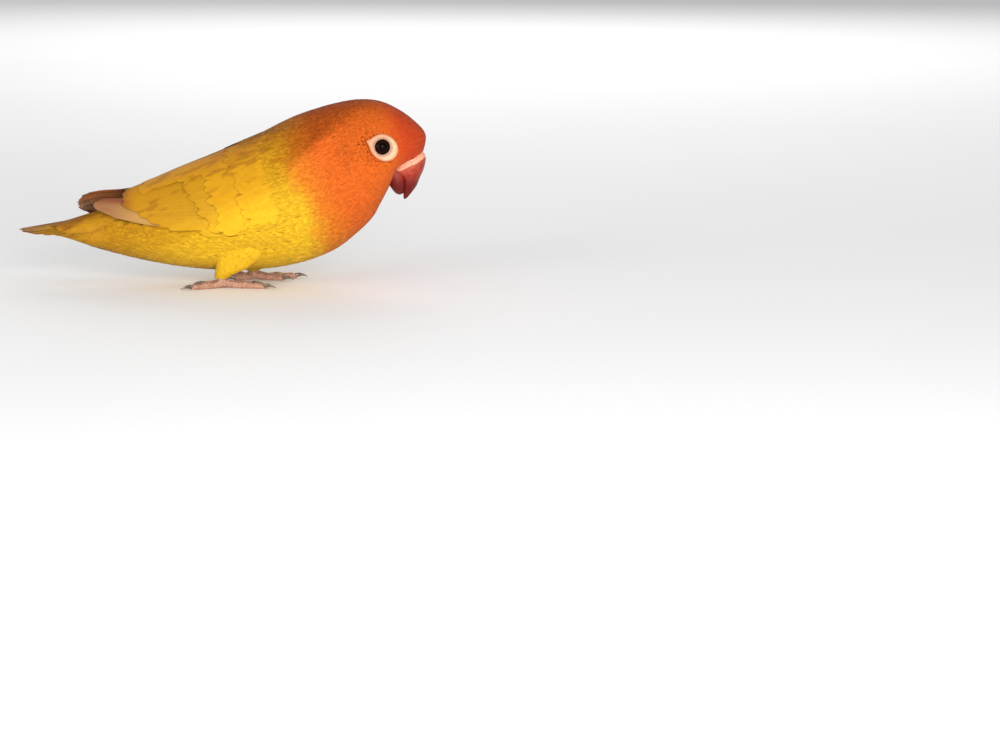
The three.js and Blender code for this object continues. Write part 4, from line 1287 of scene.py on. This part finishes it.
# Feet: four toes on each, two before and two behind, flat on the floor on soft pads. Fine plates of skin ring
# the toes, and each ends in a curved claw of brown horn.
TOES = {
    # azimuth from the bill's way towards the outer side, and length
    1: (-16, 10.0),
    2: (12, 14.2),
    3: (152, 12.0),
    4: (200, 7.5),
}
TOE_RADIUS = 1.15 * MM
PADS = np.array([
    # share of the toe's length, and thickness
    [-0.1, 0.9], [-0.04, 1.12], [0.1, 1.2], [0.22, 1.1], [0.33, 0.98], [0.45, 1.06], [0.56, 1.1],
    [0.68, 0.92], [0.8, 0.9], [0.92, 0.88], [1.0, 0.62], [1.03, 0.3],
])
SOLE = 0.15 * MM
CLAW_LENGTH = 4.4 * MM
CLAW_GAP = 0.3 * MM
CLAW_TOP, CLAW_POINT = 0.75, 0.06  # its thickness in millimetres at the toe and at its point


def level_rings(joint, azimuth, along, across, height, lowest=0.0):
    """Points from a joint on the floor: along in the azimuth's direction, across beside it, and as high as
    height but nowhere below lowest."""
    way = np.array([np.cos(azimuth), np.sin(azimuth), 0])
    beside = np.array([-way[1], way[0], 0])
    points = joint + along[..., None] * way + across[..., None] * beside
    points[..., 2] = np.maximum(height, lowest)
    return points


def toe(joint, azimuth, length, rows=90, corners=24):
    """Rings upright along a level line: the radius follows the pads, with plates across the top, and what
    would be below the floor is flat on it."""
    share, pad = np.moveaxis(profile(PADS, rows), -1, 0)[..., None]
    turn = turns(corners)
    over = np.clip(np.sin(turn) + 0.35, 0, 1)
    plates = 1 + 0.055 * over * np.abs(np.sin(np.pi * share * length / (0.9 * MM))) ** 0.6
    radius = TOE_RADIUS * pad * plates
    height = TOE_RADIUS * pad - SOLE + 0.4 * MM * np.clip(1 - share / 0.3, 0, 1)
    return level_rings(joint, azimuth, share * length, radius * np.cos(turn), height + radius * np.sin(turn))


def claw(joint, azimuth, length, rows=32, corners=16):
    """Rings along a line that rises and then falls as a square to the floor, narrower than high and thinner
    towards the point."""
    t = np.linspace(-0.12, 1, rows)[:, None]
    turn = turns(corners)
    radius = MM * (CLAW_TOP * (1 - t) ** 0.9 + CLAW_POINT)
    along = length + CLAW_GAP + CLAW_LENGTH * 0.92 * t
    height = MM * (1.05 + 1.1 * t - 1.75 * t * t) + radius * np.sin(turn)
    return level_rings(joint, azimuth, along, radius * 0.75 * np.cos(turn), height, 0.02 * MM)


def merge(name, pieces):
    """One object from several."""
    with bpy.context.temp_override(active_object=pieces[0], selected_editable_objects=pieces):
        bpy.ops.object.join()
    pieces[0].name = name
    return pieces[0]


SHANK = MM * np.array([
    # height and radius
    [0.6, 1.5], [1.2, 1.9], [1.9, 2.0], [2.6, 1.9], [3.4, 1.75], [4.2, 1.6], [5.4, 1.5],
])
scaly_finish = Finish("scaly_skin", Roughness=0.6)
claw_finish = Finish("claw_horn", Roughness=0.3, Coat_Weight=0.3)
for name, (side, ankle) in LEGS.items():
    joint = np.array([ankle, side * FOOT_SPREAD, 0])
    level, radius = np.moveaxis(profile(SHANK, 40), -1, 0)[..., None]
    plates = 1 + 0.04 * np.abs(np.sin(np.pi * level / (0.8 * MM))) ** 0.6
    turn = turns(24)
    shank = np.stack([
        joint[0] - 0.25 * level + radius * plates * np.cos(turn),
        joint[1] + radius * plates * np.sin(turn),
        level + 0 * turn,
    ], -1)
    azimuths = {k: side * np.radians(azimuth) for k, (azimuth, _) in TOES.items()}
    parts = [tube("toe", toe(joint, azimuths[k], length * MM)) for k, (_, length) in TOES.items()]
    foot = merge("scaly_foot_" + name, [tube("shank", shank), *parts])
    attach(foot, "root")
    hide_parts("foot_" + name)
    scaly_finish.paint(foot)
    for k, (_, length) in TOES.items():
        horn = tube("claw_horn_%s_%d" % (name, k), claw(joint, azimuths[k], length * MM))
        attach(horn, "root")
        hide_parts("claw_%s_%d" % (name, k))
        claw_finish.paint(horn)
grain = scaly_finish.place.noise(1500.0, 3.0)
cells = scaly_finish.place.node("TexVoronoi", {}, {"Vector": scaly_finish.place, "Scale": 1400.0})
tint = (grain * 0.7 + cells * 0.5).ramp(0.3, 0.8)
scaly_finish.feed(
    Base_Color=tint.mix(shade("865c4a"), shade("b98a70")),
    Normal=(grain + cells).bump(0.12 * MM),
)
streak = claw_finish.place.noise(900.0, 3.0)
claw_finish.feed(Base_Color=streak.ramp(0.35, 0.7).mix(shade("4a3a32"), shade("86705e")))


# Floor, light and camera: a plain pale table top in soft studio light from beside the camera, seen from the
# bird's right side and slightly above.
FLOOR_HALF = 8.0
floor_corners = FLOOR_HALF * np.array([[-1, -1, 0], [1, -1, 0], [1, 1, 0], [-1, 1, 0]])
floor = new_piece("floor", floor_corners, [np.arange(4)[None]])
floor_finish = Finish("pale_floor", Roughness=0.8)
cloud = floor_finish.place.noise(3.0).ramp(0.2, 0.8)
floor_finish.feed(Base_Color=cloud.mix(shade("f6f6f6"), shade("fafafa")))
floor_finish.paint(floor)

world = bpy.data.worlds.new("studio")
world.use_nodes = True
background = world.node_tree.nodes["Background"]
background.inputs["Color"].default_value = (1, 1, 1, 1)
background.inputs["Strength"].default_value = 0.5
bpy.context.scene.world = world

LIGHTS = {
    # place, width, watts: each lamp looks at the middle of the bird
    "key": ((0.3, -0.95, 0.22), 0.45, 9.0),
    "fill": ((-0.7, -0.7, 0.25), 0.6, 3.5),
    "rear": ((0.1, 0.9, 0.5), 0.7, 3.0),
}
BIRD_MIDDLE = Vector((0, 0, 0.033))
for name, (place, size, watts) in LIGHTS.items():
    lamp = bpy.data.lights.new(name, "AREA")
    lamp.size = size
    lamp.energy = watts
    holder = bpy.data.objects.new(name, lamp)
    holder.location = place
    holder.rotation_euler = (BIRD_MIDDLE - Vector(place)).to_track_quat("-Z", "Y").to_euler()
    bpy.context.scene.collection.objects.link(holder)

PIXEL = 0.345 * MM  # of the picture, at the bird
PICTURE_MIDDLE = (500, 375)
BIRD_AXIS, FLOOR_LINE = 222.5, 283  # the pixels of x = 0 and of the floor below the bird's middle plane
ELEVATION = np.radians(10)
LENS, SENSOR, PICTURE_WIDTH = 150.0, 36.0, 1000
target = Vector((
    (PICTURE_MIDDLE[0] - BIRD_AXIS) * PIXEL,
    0,
    (FLOOR_LINE - PICTURE_MIDDLE[1]) * PIXEL / np.cos(ELEVATION),
))
distance = PICTURE_WIDTH * PIXEL * LENS / SENSOR + (BIRD_MIDDLE.z - target.z) * np.sin(ELEVATION)
camera = bpy.data.objects.new("camera", bpy.data.cameras.new("camera"))
camera.data.lens = LENS
camera.data.sensor_width = SENSOR
camera.location = target + Vector((0, -np.cos(ELEVATION), np.sin(ELEVATION))) * distance
camera.rotation_euler = (target - camera.location).to_track_quat("-Z", "Y").to_euler()
bpy.context.scene.collection.objects.link(camera)
bpy.context.scene.camera = camera
bpy.context.scene.view_settings.view_transform = "Standard"
